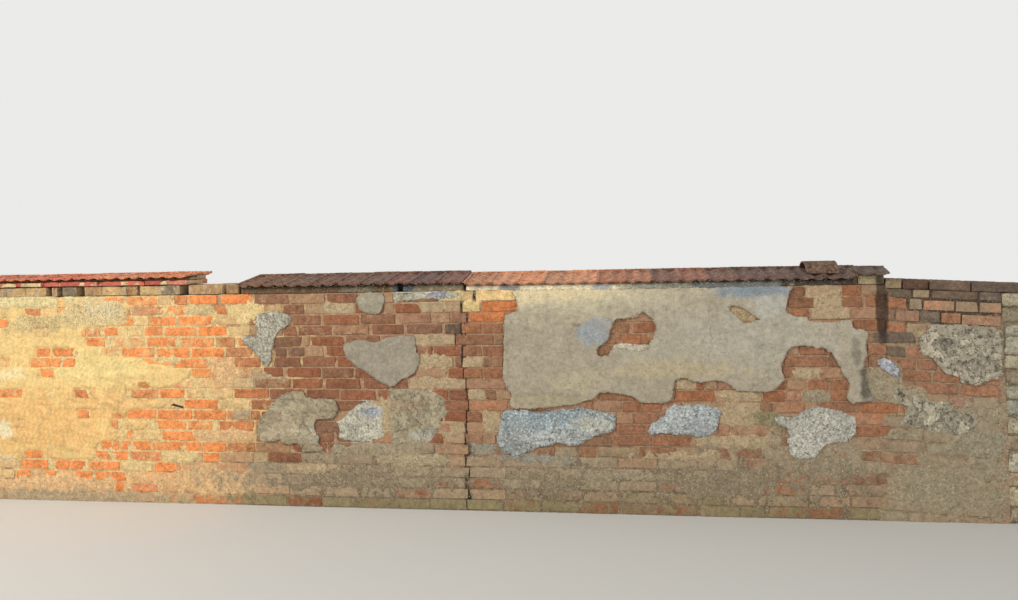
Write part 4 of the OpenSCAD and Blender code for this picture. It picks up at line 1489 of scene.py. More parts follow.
@dataclass
class Outline:
    """Outline of a coat on the wall, as straight steps from the CAD node."""

    starts: np.ndarray
    ends: np.ndarray

    @classmethod
    def of(cls, node: str) -> "Outline":
        """Reads the outline where the node lies on the wall's face."""
        copy = cad_copy(node, "outline")
        co = corners(copy)
        sides: dict[tuple[int, int], int] = {}
        for face in copy.data.polygons:
            if face.normal.y > 0.9 and abs(face.center.y + WALL.face) < 1e-4:
                for key in face.edge_keys:
                    sides[key] = sides.get(key, 0) + 1
        steps = np.array([key for key, count in sides.items() if count == 1])
        bpy.data.objects.remove(copy)
        return cls(co[steps[:, 0]][:, [0, 2]], co[steps[:, 1]][:, [0, 2]])

    def inside(self, points: np.ndarray) -> np.ndarray:
        """Which points lie inside the outline."""
        x, z = points[:, :1], points[:, 1:]
        (x0, z0), (x1, z1) = self.starts.T, self.ends.T
        crosses = (z0 > z) != (z1 > z)
        with np.errstate(divide="ignore", invalid="ignore"):
            at = x0 + (z - z0) * (x1 - x0) / (z1 - z0)
        return (np.count_nonzero(crosses & (x < at), axis=1) % 2).astype(bool)

    def nearest(self, points: np.ndarray) -> tuple[np.ndarray, np.ndarray]:
        """Nearest point of the outline to each point, and its distance."""
        span = self.ends - self.starts
        best, place = np.full(len(points), 1e9), points.copy()
        for start, step in zip(self.starts, span):
            share = np.clip(((points - start) @ step) / max(1e-12, step @ step), 0, 1)
            foot = start + share[:, None] * step
            gap = np.hypot(*(points - foot).T)
            closer = gap < best
            best[closer], place[closer] = gap[closer], foot[closer]
        return place, best

    def depth(self, points: np.ndarray) -> np.ndarray:
        """Distance inside the outline, negative outside."""
        gap = self.nearest(points)[1]
        return np.where(self.inside(points), gap, -gap)


class Edge(Enum):
    """How a coat ends on the wall."""

    BROKEN = "broken off, with its whole thickness showing"
    FEATHERED = "wiped out thin over the bricks"


@dataclass
class Coat:
    """One coat of render or lime on the garden face."""

    node: str
    edge: Edge
    thick: float
    tint: Colour
    ruler: Ruler = LEFT_RULER
    stains: Sequence[Smear] = ()
    cell: float = 0.013
    seed: int = 5
    fade: float = 0.03
    ragged: float = 0.008
    ribbed: bool = False
    ghosts: float = 0.0
    bumps: float = 0.004
    slot: str = "render"

    def build(self, finish: Material) -> Piece:
        """Models the coat from the CAD node's outline and dresses it."""
        outline = Outline.of(self.node)
        name = f"{self.node}_coat" if "coat" not in self.node else self.node.replace("coat", "skin")
        piece = self.broken(name, outline) if self.edge is Edge.BROKEN else self.feathered(name, outline)
        self.paint(piece, outline)
        return finish_piece(piece, finish, [self.node], 50)

    def sheet(self, name: str, y: float, margin: float) -> Piece:
        """A grid over the node's box, with a margin inside the wall's head and left end."""
        low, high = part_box(self.node)
        return upright_sheet(name, (max(WALL.left + 0.001, low.x - margin), max(0, low.z - margin)),
                             (high.x + margin, min(WALL.head - 0.001, high.z + margin)), y, self.cell)

    def broken(self, name: str, outline: Outline) -> Piece:
        """A plate with a ragged, broken edge."""
        piece = self.sheet(name, -(WALL.face + self.thick), 0.01)
        centres = np.array([face.center[:] for face in piece.data.polygons])[:, [0, 2]]
        delete_faces(piece, ~outline.inside(centres))
        with editing(piece, "SELECT"):
            bpy.ops.mesh.region_to_loop()
            bpy.ops.object.vertex_group_assign_new()
        piece.vertex_groups[0].name = "rim"
        walls = cad_copy(self.node, "walls")
        delete_faces(walls, [abs(face.normal.y) > 0.5 for face in walls.data.polygons], "ONLY_FACE")
        apply_modifier(piece, "SHRINKWRAP", target=walls, vertex_group="rim")
        bpy.data.objects.remove(walls)
        roughen(piece, 0.1, self.ragged * 3, "rim", 2, "RGB_TO_XYZ")
        roughen(piece, 0.035, self.ragged * 3.4, "rim", 4, "RGB_TO_XYZ")
        co = corners(piece)
        co[:, 1] = -(WALL.face + self.thick)
        piece.data.vertices.foreach_set("co", co.ravel())
        apply_modifier(piece, "SMOOTH", factor=0.5, iterations=6, vertex_group="rim",
                       invert_vertex_group=True)
        apply_modifier(piece, "SOLIDIFY", thickness=self.thick + 0.006, offset=-1)
        co = corners(piece)
        x, z = co[:, 0], co[:, 2]
        front = co[:, 1] < -(WALL.face + self.thick / 2)
        gap = outline.nearest(co[:, [0, 2]])[1]
        worn = np.clip(1 - gap / 0.007, 0, 1) * (0.6 + 0.5 * ripple(x, z, 0.06, self.seed))
        sag = np.zeros(len(co))
        for stain in self.stains:
            sag = np.maximum(sag, stain.share(x, z, self.ruler) * (1 - stain.cover))
        set_group(piece, "front", front.astype(float))
        raise_surface(piece, "worn", np.where(front, worn, 0), -self.thick * 0.3)
        if sag.any():
            raise_surface(piece, "sag", np.where(front, sag, 0), -self.thick)
        roughen(piece, 0.22, self.bumps * 1.6, "front", 1)
        roughen(piece, 0.045, self.bumps, "front")
        return piece

    def feathered(self, name: str, outline: Outline) -> Piece:
        """A thin skin that dips between the bricks and runs out over them."""
        sunk = 0.013
        piece = self.sheet(name, -(WALL.face - sunk), 0.04)
        co = corners(piece)
        depth = outline.depth(co[:, [0, 2]])
        x, z = co[:, 0], co[:, 2]
        uneven = 0.5 * ripple(x, z, 0.12, self.seed) + 0.5 * ripple(x, z, 0.045, self.seed + 1)
        weight = np.clip(0.5 + (depth + uneven * self.ragged) / self.fade * 0.5, 0, 1)
        weight = weight * (1 - 0.12 * joint_lines(z) * self.ribbed)
        for stain in self.stains:
            weight *= 1 - stain.share(x, z, self.ruler) * max(0, 1 - stain.cover)
        faces = np.array([max(weight[v] for v in face.vertices) for face in piece.data.polygons])
        raise_surface(piece, "height", weight, sunk + self.thick)
        roughen(piece, 0.2, self.bumps * 1.4, "height", 1)
        roughen(piece, 0.05, self.bumps, "height")
        delete_faces(piece, faces <= 0.01)
        apply_modifier(piece, "SOLIDIFY", thickness=0.02, offset=-1)
        return piece

    def paint(self, piece: Piece, outline: Outline) -> None:
        """Stores the tint of each place, with painted shadow along a broken coat's lower edges, and how near
        it lies to the broken edge.
        """
        co = corners(piece)
        x, z = co[:, 0], co[:, 2]
        colours = tinted(x, z, self.tint, self.stains, self.ruler)
        ghost = joint_lines(z) * np.clip(0.5 + ripple(x, z, 0.5, self.seed), 0, 1)
        colours *= 1 - self.ghosts * ghost[:, None]
        gap = outline.nearest(co[:, [0, 2]])[1]
        # Painted shadow: a broken coat is darkened near its lower edges, as if its thickness shaded the wall
        # below; near its other edges it is made paler.
        if self.edge is Edge.BROKEN:
            under = ~outline.inside(co[:, [0, 2]] - (0, 0.016))
            colours *= (1 + np.clip(1 - gap / 0.01, 0, 1) * np.where(under, -0.6, 0.22))[:, None]
        reach = 0.014 if self.edge is Edge.BROKEN else 0.012
        rim = np.clip(1 - gap / reach, 0, 1) * (1 if self.edge is Edge.BROKEN else 0.5)
        for stain in self.stains:
            rim = np.maximum(rim, stain.share(x, z, self.ruler) * stain.dirt)
        set_colour(piece.data, "tint", colours, rim)


def joint_lines(z: np.ndarray) -> np.ndarray:
    """1 on the bed joints of the level bays and 0 on their bricks."""
    off = np.abs((WALL.head - z) / WALL.course - np.round((WALL.head - z) / WALL.course))
    return np.clip(1 - off / 0.16, 0, 1)


# Coping


@dataclass
class TileRun:
    """A run of interlocking clay tiles laid to a fall."""

    name: str
    node: str
    start: float
    seat: float
    bed: float
    count: int
    clays: Sequence[Colour]
    seed: int
    width: float = 0.21
    length: float = 0.42
    clay: float = 0.014
    flute: float = 0.014
    roll: float = 0.007
    roll_half: float = 0.014
    head_rib: float = 0.026
    slope: float = math.radians(9)
    turn: float = 0.0
    overhang: float = 0.04
    bite_at: float = 0.0
    bite: float = 0.038
    # How much the front lips take the paler worn colour, at the first and last tile; it follows the light on
    # each run, so it is partly painted sunlight and shade.
    worn: Pair = (1, 1)

    def frame_matrix(self) -> Matrix:
        """Frame of the run: X along the wall, Y up the slope."""
        drop = self.overhang * math.tan(self.slope)
        place = Matrix.Translation((self.start, -(WALL.face + self.overhang), self.seat + self.bed - drop))
        return place @ Matrix.Rotation(-self.turn, 4, "Z") @ Matrix.Rotation(self.slope, 4, "X")

    def flute_height(self, x: float) -> float:
        """Height of the underside over a flute's lowest line, at x from the tile's left edge."""
        return self.flute * (1 + math.cos(2 * math.tau * x / self.width)) / 2

    def model_tile(self, seed: int) -> Mesh:
        """Models one tile: a sheet bent into two flutes, given its thickness, with its side roll."""
        draws = random.Random(seed)
        steps, gap, top = 24, 0.001, self.flute + self.clay
        span = self.width - 2 * gap
        deselect()
        bpy.ops.mesh.primitive_grid_add(x_subdivisions=steps, y_subdivisions=12, size=1,
                                        location=(self.width / 2, self.length / 2, 0))
        tile = bpy.context.object
        tile.scale = (span, self.length, 1)
        bpy.ops.object.transform_apply()
        with editing(tile) as mesh:
            for column in range(steps + 1):
                at = gap + column * span / steps
                pick_verts(tile, mesh, lambda co: abs(co.x - at) < 1e-4)
                bpy.ops.transform.translate(value=(0, 0, self.flute_height(at)))
                pick_verts(tile, mesh, lambda co: abs(co.x - at) < 1e-4 and co.y < 0.002)
                broken = draws.choice((0, 0, 0.002, 0.003, 0.005, 0.009))
                bpy.ops.transform.translate(value=(0, broken, 0))
        apply_modifier(tile, "SOLIDIFY", thickness=self.clay, offset=1)
        rib_foot, crest = self.length - self.head_rib, top + self.roll
        with editing(tile):
            for cut in (rib_foot - 0.005, rib_foot):
                bpy.ops.mesh.select_all(action="SELECT")
                bpy.ops.mesh.bisect(plane_co=(0, cut, 0), plane_no=(0, 1, 0))
            mesh = bmesh.from_edit_mesh(tile.data)
            pick_verts(tile, mesh, lambda co: co.y > rib_foot - 0.001
                       and co.z > self.flute_height(co.x) + self.clay / 2)
            bpy.ops.transform.resize(value=(1, 1, 0), center_override=(0, 0, crest))
        deselect()
        bpy.ops.mesh.primitive_cylinder_add(vertices=16, radius=self.roll_half, depth=self.length,
                                            location=(0, self.length / 2, top - 0.001),
                                            rotation=(math.pi / 2, 0, 0))
        roll = bpy.context.object
        bpy.ops.object.transform_apply()
        with editing(roll, "SELECT"):
            bpy.ops.mesh.bisect(plane_co=(0, 0, top - 0.008), plane_no=(0, 0, -1), use_fill=True,
                                clear_outer=True)
            parts = 9
            for cut in range(1, parts):
                bpy.ops.mesh.select_all(action="SELECT")
                bpy.ops.mesh.bisect(plane_co=(0, self.length * cut / parts, 0), plane_no=(0, 1, 0))
            bpy.ops.mesh.select_all(action="SELECT")
            squash = self.roll / self.roll_half
            bpy.ops.transform.resize(value=(1, 1, squash), center_override=(0, 0, top))
        whole = join("clay_tile", [tile, roll])
        with editing(whole, "SELECT"):
            bpy.ops.transform.vertex_random(offset=0.0012, uniform=1, normal=0, seed=seed)
            bpy.ops.mesh.normals_make_consistent(inside=False)
        shape = whole.data
        shape.name = f"clay_tile_{seed}"
        bpy.data.objects.remove(whole)
        return shape

    def build(self, shapes: Sequence[Mesh], finish: Material) -> Piece:
        """Lays the tiles side by side, each a little off, and joins them."""
        draws = random.Random(self.seed)
        placed = []
        for number in range(self.count):
            mesh = draws.choice(shapes).copy()
            lip = np.clip(1.3 - np.array([vert.co.y for vert in mesh.vertices]) / 0.04, 0, 1)
            off = Matrix.Translation((number * self.width, draws.uniform(-0.004, 0.006),
                                      draws.uniform(-0.0005, 0.0035)))
            swing, tip = draws.gauss(0, 0.006), draws.gauss(0, 0.006)
            lean = Matrix.Rotation(swing, 4, "Z") @ Matrix.Rotation(tip, 4, "Y")
            mesh.transform(self.frame_matrix() @ off @ lean)
            share = number / max(1, self.count - 1)
            clay = varied(self.clays[min(len(self.clays) - 1, int(share * len(self.clays)))], draws, 0.16)
            worn = self.worn[0] + (self.worn[1] - self.worn[0]) * share
            set_colour(mesh, "clay", clay, lip * worn)
            tile = new_object("tile", mesh)
            if self.bite_at and number * self.width <= self.bite_at < (number + 1) * self.width:
                self.bite_out(tile, clay)
            placed.append(tile)
        return finish_piece(join(self.name, placed), finish, [self.node], 40)

    def bite_out(self, tile: Piece, clay: Colour) -> None:
        """Breaks a rounded bite out of a tile's lower edge and colours the tile anew."""
        deselect()
        bpy.ops.mesh.primitive_cylinder_add(vertices=14, radius=self.bite, depth=0.3)
        cutter = bpy.context.object
        cutter.data.transform(self.frame_matrix() @ Matrix.Translation((self.bite_at, 0, 0)))
        with editing(cutter, "SELECT"):
            bpy.ops.transform.vertex_random(offset=0.006, uniform=1, normal=0, seed=self.seed)
        apply_modifier(tile, "BOOLEAN", operation="DIFFERENCE", object=cutter, solver="EXACT")
        bpy.data.objects.remove(cutter)
        set_colour(tile.data, "clay", clay, 0.2)


@dataclass
class MortarBed:
    """Mortar under a run of tiles, its top following their undersides."""

    node: str
    tint: Colour
    stains: Sequence[Smear] = ()
    ruler: Ruler = CENTRE_RULER
    cell: float = 0.009
    bumps: float = 0.007
    # The bed's front is darkened above this height as painted shadow of the tiles' overhang.
    shade_from: float = 1.771
    plastered: Pair = (9, 9)

    def build(self, finish: Material) -> Piece:
        """Roughens a copy of the CAD bed, with painted shadow under the tiles, and plastered flush where it
        meets a coat.
        """
        name = self.node.replace("mortar_bed", "bedding").replace("bedding_stones", "bedding")
        piece = cad_copy(self.node, name)
        rough_mass(piece, self.cell, self.bumps, self.tint, 80)
        co = corners(piece)
        inside = np.clip(np.minimum(co[:, 0] - self.plastered[0], self.plastered[1] - co[:, 0]) / 0.03, 0, 1)
        coat = 0.014
        moved = coat * inside * (co[:, 1] < -0.13)
        co[:, 2] -= moved * (co[:, 2] < WALL.head + coat)
        co[:, 1] -= moved
        piece.data.vertices.foreach_set("co", co.ravel())
        colours = tinted(co[:, 0], co[:, 2], self.tint, self.stains, self.ruler)
        # Painted shadow under the tile lips, reaching lower under the arches of the flutes, on the front
        # only.
        arches = 0.003 * (1 + np.cos(math.tau * (co[:, 0] + 0.033) / 0.105))
        shade = np.clip((co[:, 2] - self.shade_from + arches) / 0.009, 0, 1) * (co[:, 1] < 0)
        set_colour(piece.data, "tint", colours * (1 - 0.72 * shade[:, None]))
        return finish_piece(piece, finish, [self.node], 70)


# Assemblies


@dataclass
class Coping:
    """All tiles, their bedding and the flat tiles under the left run."""

    # The left run's clays and the first of the right run's are lighter, partly as painted sunlight; the
    # middle run's and the right run's last are darker, partly as painted shade.
    left_clays: Sequence[Colour] = (chart(208, 132, 104), chart(200, 122, 96), chart(212, 142, 106))
    middle_clays: Sequence[Colour] = (chart(122, 92, 74), chart(116, 86, 72), chart(118, 84, 74))
    right_clays: Sequence[Colour] = (chart(200, 140, 104), chart(204, 142, 104), chart(172, 120, 92),
                                     chart(140, 98, 80), chart(118, 88, 76), chart(116, 88, 76))
    end_clays: Sequence[Colour] = (chart(100, 84, 74),)

    def runs(self) -> list[TileRun]:
        """The four runs of tiles."""
        # The worn pairs drop where a run lies in shade: the pale lips are partly painted sunlight.
        return [
            TileRun("coping_left_tiles", "coping_tiles_left", -4.5, 1.867, 0.016, 10, self.left_clays, 91,
                    slope=math.radians(2)),
            TileRun("coping_middle_tiles", "coping_tiles_middle", -1.935, 1.74, 0.06, 9, self.middle_clays,
                    92, worn=(0.15, 0.3)),
            TileRun("coping_right_tiles", "coping_tiles_right", -0.033, 1.74, 0.044, 14, self.right_clays, 93,
                    bite_at=1.86, worn=(1, 0.25)),
            TileRun("coping_end_clay_tile", "coping_end_tile", 2.919, 1.74, 0.068, 1, self.end_clays, 94,
                    slope=math.radians(4), turn=math.radians(14), worn=(0.2, 0.2)),
        ]

    def build(self) -> None:
        """Builds the coping from the bedding up."""
        finish = TileFinish().material()
        mortar = MortarFinish("coping_mortar", dirt_share=0.3).material()
        white, blue, shadow = chart(246, 234, 200), chart(122, 124, 118), chart(88, 80, 70)
        MortarBed("mortar_bed_left", TAN_WASH, shade_from=1.88).build(mortar)
        # The middle bed's dark brown is partly painted shade under the overhanging tiles.
        MortarBed("mortar_bed_middle", chart(116, 92, 68), [
            Smear(-1.0, -0.3, 0.9, 1.2, chart(150, 136, 112)),
            Smear(-1.65, -0.3, 0.3, 1.0, chart(92, 96, 102)),
            Smear(-3.0, -0.3, 0.5, 1.0, chart(128, 118, 98))], shade_from=1.782).build(mortar)
        MortarBed("mortar_bed_right", white, [
            Smear(5.6, -0.3, 1.6, 1.4, chart(156, 152, 136)), Smear(7.2, -0.3, 1.4, 1.4, blue),
            Smear(1.25, -0.1, 0.3, 0.5, chart(168, 172, 178)),
            Smear(3.6, -0.1, 0.25, 0.5, chart(184, 184, 180)),
            Smear(9.3, -0.3, 1.1, 1.2, shadow)],
            plastered=(0.4, 2.4)).build(mortar)
        MortarBed("bedding_stones_end", chart(178, 160, 124), shade_from=1.8).build(mortar)
        runs = self.runs()
        shapes = [runs[0].model_tile(seed) for seed in range(300, 306)]
        for run in runs:
            run.build(shapes, finish)
        TileCreasing().build(finish, mortar)
        self.close_gap(runs[2], runs[3], shapes[0], finish, mortar)
        ridge = cad_copy("loose_ridge_tile", "ridge_tile")
        rough_mass(ridge, 0.006, 0.003, chart(118, 92, 76), 64, "clay")
        finish_piece(ridge, finish, ["loose_ridge_tile"], 50)

    def close_gap(self, run: TileRun, end: TileRun, shape: Mesh, finish: Material,
                  mortar: Material) -> None:
        """Closes the wedge between the right run and the turned end tile with a cut tile on mortar."""
        mesh = shape.copy()
        mesh.transform(run.frame_matrix() @ Matrix.Translation((run.count * run.width + 0.003, 0.006, 0)))
        set_colour(mesh, "clay", chart(112, 92, 78), 0)
        tile = new_object("cut_tile", mesh)
        deselect()
        bpy.ops.mesh.primitive_cube_add(size=1, location=(run.start + run.count * run.width + 0.06, 0, 1.78))
        lump = bpy.context.object
        lump.name, lump.scale = "gap_mortar", (0.16, 0.286, 0.16)
        bpy.ops.object.transform_apply()
        side = (end.start - 0.003, -(WALL.face + end.overhang), 0)
        across = (math.cos(end.turn), -math.sin(end.turn), 0)
        slice_off(tile, (side, across))
        slice_off(lump, (side, across))
        slice_off(lump, ((0, 0, WALL.head), (0, 0, -1)))
        slice_off(lump, ((0, -WALL.face, run.seat + run.bed + 0.006),
                         (0, -math.sin(run.slope), math.cos(run.slope))))
        rough_mass(lump, 0.009, 0.006, chart(104, 92, 74), 65)
        finish_piece(tile, finish, (), 40)
        finish_piece(lump, mortar, (), 60)


def dress_node(node: Piece, material: Material) -> None:
    """Gives a CAD node its finish."""
    node.data.materials.clear()
    node.data.materials.append(material)
    log.info("%s: finish only", node.name)


@dataclass
class Bays:
    """The three bays of brickwork, the top course, the slabs and the pier."""

    joint_seed: int = 11

    def bays(self) -> list[Brickwork]:
        """The bays from left to right."""
        return [
            LeftBay("left_bay", "bay_left_wall", LEFT_RULER, 0.0, 14.85, LEFT_KNOWN, left_tones, LEFT_SMEARS,
                    chart(178, 142, 110), self.joint_seed, grime=[
                        Smear(12.6, 18.5, 3.6, 4.0, DARK_JOINT, soft=0.3), *crack_grime(14.85)]),
            CentreBay("centre_bay", "bay_centre_wall", CENTRE_RULER, 0.0, 10.55, CENTRE_KNOWN, centre_tones,
                      CENTRE_SMEARS, chart(174, 138, 108), self.joint_seed + 10, grime=[
                          Smear(5, 19, 7, 4.6, DARK_JOINT, soft=0.3), *crack_grime(0.0)],
                      paler=(1.12, 1.24, 1.24)),
            SunkenBay("sunken_bay", "bay_right_wall", Ruler(WALL.right, WALL.sunken_rows), 0.0, 2.66,
                      RIGHT_KNOWN, right_tones, RIGHT_SMEARS, chart(164, 138, 110), self.joint_seed + 20,
                      tilt=WALL.sink, grime=[Smear(1.7, 1.0, 1.6, 2.9, chart(84, 70, 56), soft=0.8)],
                      paler=(1.24, 1.42, 1.5)),
        ]

    def build(self) -> None:
        """Builds bricks and mortar bay by bay."""
        brick = BrickFinish().material()
        mortar = MortarFinish("joint_mortar").material()
        stone = StoneFinish("pier_stone").material()
        slab = StoneFinish("slab_stone", lichen=chart(150, 142, 126), seam=chart(60, 50, 44)).material()
        shapes = [(shape, shape.build(200 + 20 * number)) for number, shape in enumerate(BRICK_SHAPES)]
        for bay in self.bays():
            bay.build_bricks(shapes, brick)
            bay.build_mortar(mortar)
        TopCourse().build(shapes, brick, mortar)
        CappingSlabs().build(slab)
        StonePier().build(stone, mortar)


@dataclass
class Coats:
    """Everything that was spread on the garden face."""

    def coats(self) -> list[tuple[Coat, str]]:
        """The coats, each with the name of its finish."""
        broken, feathered = Edge.BROKEN, Edge.FEATHERED
        beige, blue, dirty = chart(174, 163, 142), chart(160, 168, 174), chart(104, 96, 86)
        yellow, white = chart(228, 210, 170), chart(198, 196, 186)
        c, r = CENTRE_RULER, RIGHT_RULER
        return [
            # The lime coat's warm cream-yellow tint and stains are partly painted sunlight, as the limed side
            # lies in sun.
            (Coat("lime_coat_left", feathered, 0.006, chart(234, 200, 134), stains=[
                Smear(4.6, 10.5, 1.5, 1.5, chart(232, 190, 126), 1),
                Smear(2.3, 12.5, 2.4, 3, chart(234, 188, 122), 1),
                Smear(4.2, 6.8, 1.4, 1.6, chart(238, 212, 144), 1),
                Smear(4.0, 1.7, 1.5, 1.3, chart(214, 194, 144), 1, 0.4, 0.8),
                Smear(2.3, 2.6, 1.1, 0.9, chart(206, 184, 130), 1, 0.4, 0.7),
                Smear(4.4, 1.0, 0.5, 0.9, chart(224, 214, 178), 1, 0.3, 0.9),
                Smear(1.5, 7.6, 0.5, 0.5, chart(238, 218, 166), 1), Smear(1.2, 16.4, 0.4, 0.6, white, 1),
                Smear(5.6, 8.6, 0.16, 0.3, chart(194, 130, 72), 1, 0.2),
                Smear(4.85, 12.4, 0.2, 0.9, SUNLIT_CREAM, 0.2, 0.3),
                Smear(1.2, 13.0, 0.35, 0.8, chart(240, 226, 186), 1, 0.3, 0.2),
                Smear(1.6, 0.6, 1.6, 0.5, TAN_WASH, 1, 0.5, 0.5)], fade=0.014, ragged=0.012,
                slot="lime_coat", bumps=0.003, ghosts=0.09), "lime"),
            (Coat("render_centre_field", broken, 0.017, beige, c, [
                Smear(2.8, -0.3, 2.6, 2.4, chart(204, 194, 164), 1, 1.2),
                # The yellow at the field's top left is partly painted sunlight, as on the first tiles of the
                # right run above it.
                Smear(2.2, -0.2, 1.7, 1.2, yellow, 1, 0.9),
                Smear(1.8, 0.4, 0.5, 0.6, yellow, 0.8, 0.9),
                Smear(3.4, 4.0, 0.5, 1.05, blue, 0.9, 0.5, 0.3),
                Smear(3.7, 3.0, 0.2, 0.4, chart(168, 170, 168), 1, 0.15),
                Smear(2.95, 3.2, 0.12, 0.18, chart(140, 124, 104), 1),
                Smear(7.2, 4.5, 2.4, 2.8, chart(181, 174, 156), 1, 1.2),
                Smear(7.6, 0.1, 1.0, 0.9, chart(142, 152, 160), 1, 0.6),
                Smear(7.9, 1.7, 0.6, 0.8, chart(184, 181, 168), 1, 0.6),
                Smear(2.9, 8.3, 0.6, 0.8, chart(184, 174, 146), 1, 0.1, 0.2),
                Smear(10.04, 8.5, 0.14, 1.5, dirty, 1), Smear(9.8, 5.6, 0.12, 1.0, chart(146, 138, 122), 1),
                Smear(2.1, 10.0, 1.1, 0.7, chart(172, 162, 134), 0.5),
                Smear(5.4, 7.2, 1.5, 0.8, chart(184, 170, 140), 1)], seed=21), "render"),
            (Coat("render_top_strip", feathered, 0.005, chart(184, 180, 158), LEFT_RULER, [
                Smear(14.15, 0.25, 0.3, 0.5, chart(150, 148, 160), 1)]), "mottled"),
            (Coat("render_patch_small_top", broken, 0.01, chart(164, 157, 136), seed=22), "render"),
            (Coat("render_patch_heart", broken, 0.01, chart(160, 151, 134), r, [
                Smear(-9.7, 4.0, 0.5, 2.0, chart(154, 152, 142), 1),
                Smear(-8.6, 6.4, 0.6, 1.2, chart(152, 142, 120), 1)], seed=23), "render"),
            (Coat("render_patch_grey_left", broken, 0.01, chart(176, 170, 150), seed=24, bumps=0.007),
             "mottled"),
            (Coat("render_patch_lower_left", broken, 0.011, chart(166, 152, 126), stains=[
                Smear(10.6, 13.0, 0.45, 0.8, chart(160, 155, 140), 1, 0.2, 0.4),
                Smear(10.35, 13.2, 0.32, 0.5, chart(186, 176, 148), 1, 0.12, 0.3),
                Smear(9.8, 10.4, 0.9, 0.7, chart(172, 160, 132), 1)], seed=25, bumps=0.006), "worn"),
            (Coat("render_patch_white_lower", feathered, 0.006, chart(186, 182, 162), stains=[
                Smear(12.2, 11.2, 0.25, 0.5, chart(150, 154, 168), 1)], ribbed=True), "mottled"),
            (Coat("render_patch_lower_mid", feathered, 0.006, chart(168, 156, 130), stains=[
                Smear(13.2, 10.5, 0.5, 0.6, chart(166, 146, 118), 1),
                Smear(13.7, 13.2, 0.3, 0.7, chart(178, 174, 158), 1)], ribbed=True, seed=27), "worn"),
            (Coat("render_patch_blue_lower", broken, 0.009, chart(166, 171, 168), c, [
                Smear(2.3, 11.4, 1.4, 1.0, chart(150, 166, 174), 1, 1.2),
                Smear(3.3, 12.0, 0.5, 0.8, chart(184, 184, 172), 1)],
                seed=28, bumps=0.006, ragged=0.012), "mottled"),
            (Coat("render_patch_blue_small", broken, 0.009, chart(172, 178, 178), c, seed=29,
                  bumps=0.005, ragged=0.012), "mottled"),
            (Coat("render_patch_white_right", broken, 0.009, chart(186, 182, 168), c, seed=30,
                  bumps=0.007, ragged=0.012), "mottled"),
            (Coat("render_patch_right", broken, 0.011, chart(170, 161, 141), r, seed=31, bumps=0.008,
                  ragged=0.012), "rough"),
            (Coat("render_patch_right_low", feathered, 0.006, chart(160, 152, 132), r, seed=32, bumps=0.007),
             "rough"),
            (Coat("render_chip_pale", broken, 0.013, chart(178, 182, 192), r, seed=33), "mottled"),
        ]

    def build(self) -> None:
        """Builds every coat with its finish."""
        finishes = {
            # The cream lime's warm light and dark colours are partly painted sunlight.
            "lime": RenderFinish("cream_lime", chart(244, 224, 170), chart(196, 158, 102), 0.42, 34, 0.2, 0.5,
                                 chart(230, 206, 156), chart(140, 108, 72), grit=0.5, crack_share=0.3,
                                 flakes=0.35).material(),
            "render": RenderFinish("float_render", chart(196, 188, 166), chart(146, 136, 116), 0.22, 30,
                                   crack_share=0.3).material(),
            "worn": RenderFinish("worn_render", chart(188, 178, 154), chart(112, 102, 84), 0.4, 34,
                                 0.3, 0.8, grit=0.7, flakes=1.1).material(),
            "mottled": RenderFinish("limewashed_render", chart(226, 226, 218), chart(108, 106, 102), 0.8,
                                    58, 0.25, 0.9, grit=0.9, crack_share=0.3, flakes=0.9).material(),
            "rough": RenderFinish("rough_render", chart(202, 194, 172), chart(82, 74, 62), 0.62, 24,
                                  0.4, 1.0, grit=0.9, flakes=2.2).material(),
        }
        for coat, finish in self.coats():
            coat.build(finishes[finish])


# Studio


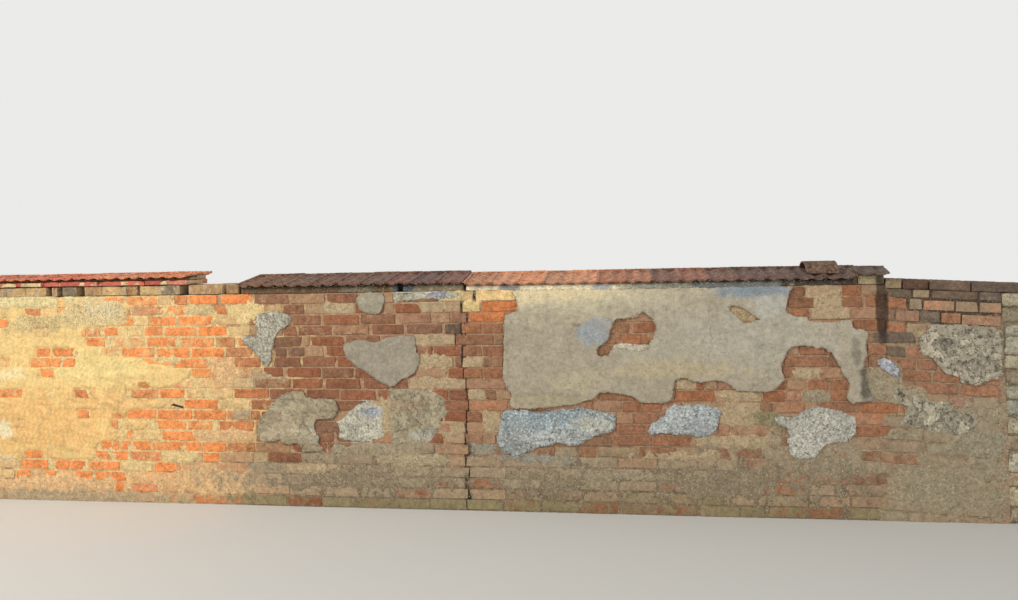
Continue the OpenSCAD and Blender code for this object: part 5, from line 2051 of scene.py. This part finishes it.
@dataclass
class Studio:
    """Floor, backdrop, lamps and camera."""

    floor_colour: Colour = chart(212, 211, 207)
    backdrop: float = 0.9
    lens_pixels: float = 723.2
    image_width: float = 1018
    eye: Triple = (1.077, -5.813, 2.018)
    heading: float = math.radians(7.56)
    dip: float = math.radians(-1.0)
    roll: float = math.radians(1.27)
    rise: float = -57.8

    def build_camera(self) -> None:
        """Places the camera."""
        data = bpy.data.cameras.new("camera")
        data.sensor_width = 36
        data.lens = 36 * self.lens_pixels / self.image_width
        data.shift_y = self.rise / self.image_width
        data.clip_end = 200
        camera = new_object("camera", data)
        turn = (Matrix.Rotation(self.heading, 4, "Z") @ Matrix.Rotation(math.pi / 2 - self.dip, 4, "X")
                @ Matrix.Rotation(-self.roll, 4, "Z"))
        camera.matrix_world = Matrix.Translation(self.eye) @ turn
        bpy.context.scene.camera = camera

    def build_floor(self) -> None:
        """A pale level floor, whiter to the camera far away."""
        deselect()
        bpy.ops.mesh.primitive_plane_add(size=120)
        floor = bpy.context.object
        floor.name = "studio_floor"
        g = Graph("studio_floor")
        colour = g.mix(g.noise(0.6, 3) * 0.3, self.floor_colour, chart(218, 217, 213))
        g.surface(colour, 0.9, g.noise(30, 2), 0.001, 0.1)
        ending = next(node for node in g.tree.nodes if node.bl_idname == "ShaderNodeOutputMaterial")
        near = Flow(g, ending.inputs["Surface"].links[0].from_socket)
        far = g.add("Emission", {}, {"Color": (*chart(246, 246, 244), 1), "Strength": self.backdrop})
        reach = g.add("VectorMath", {"operation": "LENGTH"}, {0: g.place()}, "Value")
        seen = g.add("LightPath", output="Is Camera Ray")
        blend = g.add("MixShader", {}, {0: g.band(reach, 5.5, 13) * seen, 1: near, 2: far})
        g.tree.links.new(blend.socket, ending.inputs["Surface"])
        floor.data.materials.append(g.material)

    def lamp(self, name: str, place: Sequence[float], aim: Sequence[float], size: float, power: float,
             colour: Colour) -> None:
        """Adds one square area lamp that looks at a point."""
        data = bpy.data.lights.new(name, "AREA")
        data.size, data.energy, data.color = size, power, colour
        lamp = new_object(name, data)
        lamp.location = place
        lamp.rotation_euler = (Vector(aim) - Vector(place)).to_track_quat("-Z", "Y").to_euler()

    def build_light(self) -> None:
        """Soft lamps and a pale surround."""
        world = bpy.data.worlds.new("surround")
        world.use_nodes = True
        tree = world.node_tree
        back = tree.nodes["Background"]
        back.inputs["Color"].default_value = (*chart(246, 246, 244), 1)
        path, strength = tree.nodes.new("ShaderNodeLightPath"), tree.nodes.new("ShaderNodeMapRange")
        tree.links.new(path.outputs["Is Camera Ray"], strength.inputs["Value"])
        strength.inputs["To Min"].default_value, strength.inputs["To Max"].default_value = 0.5, self.backdrop
        tree.links.new(strength.outputs[0], back.inputs["Strength"])
        bpy.context.scene.world = world
        self.lamp("key", (-7.5, -7.5, 8.5), (0, 0, 0.9), 3.2, 960, (1, 0.97, 0.92))
        self.lamp("fill", (8, -8, 4), (0.5, 0, 0.9), 6, 210, (0.97, 0.98, 1))
        self.lamp("rear", (0, 9, 6), (0, 0, 1), 7, 420, (1, 1, 1))

    def build(self) -> None:
        """Builds the studio and sets how colours are shown."""
        self.build_camera()
        self.build_floor()
        self.build_light()
        bpy.context.scene.view_settings.view_transform = "Standard"


def main() -> None:
    """Builds the studio and the wall in order."""
    logging.basicConfig(level=logging.INFO, format="%(name)s: %(message)s")
    Studio().build()
    Bays().build()
    Coats().build()
    Coping().build()
    dress_node(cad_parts["iron_hook"], IronFinish().material())


if __name__ == "__main__":
    main()
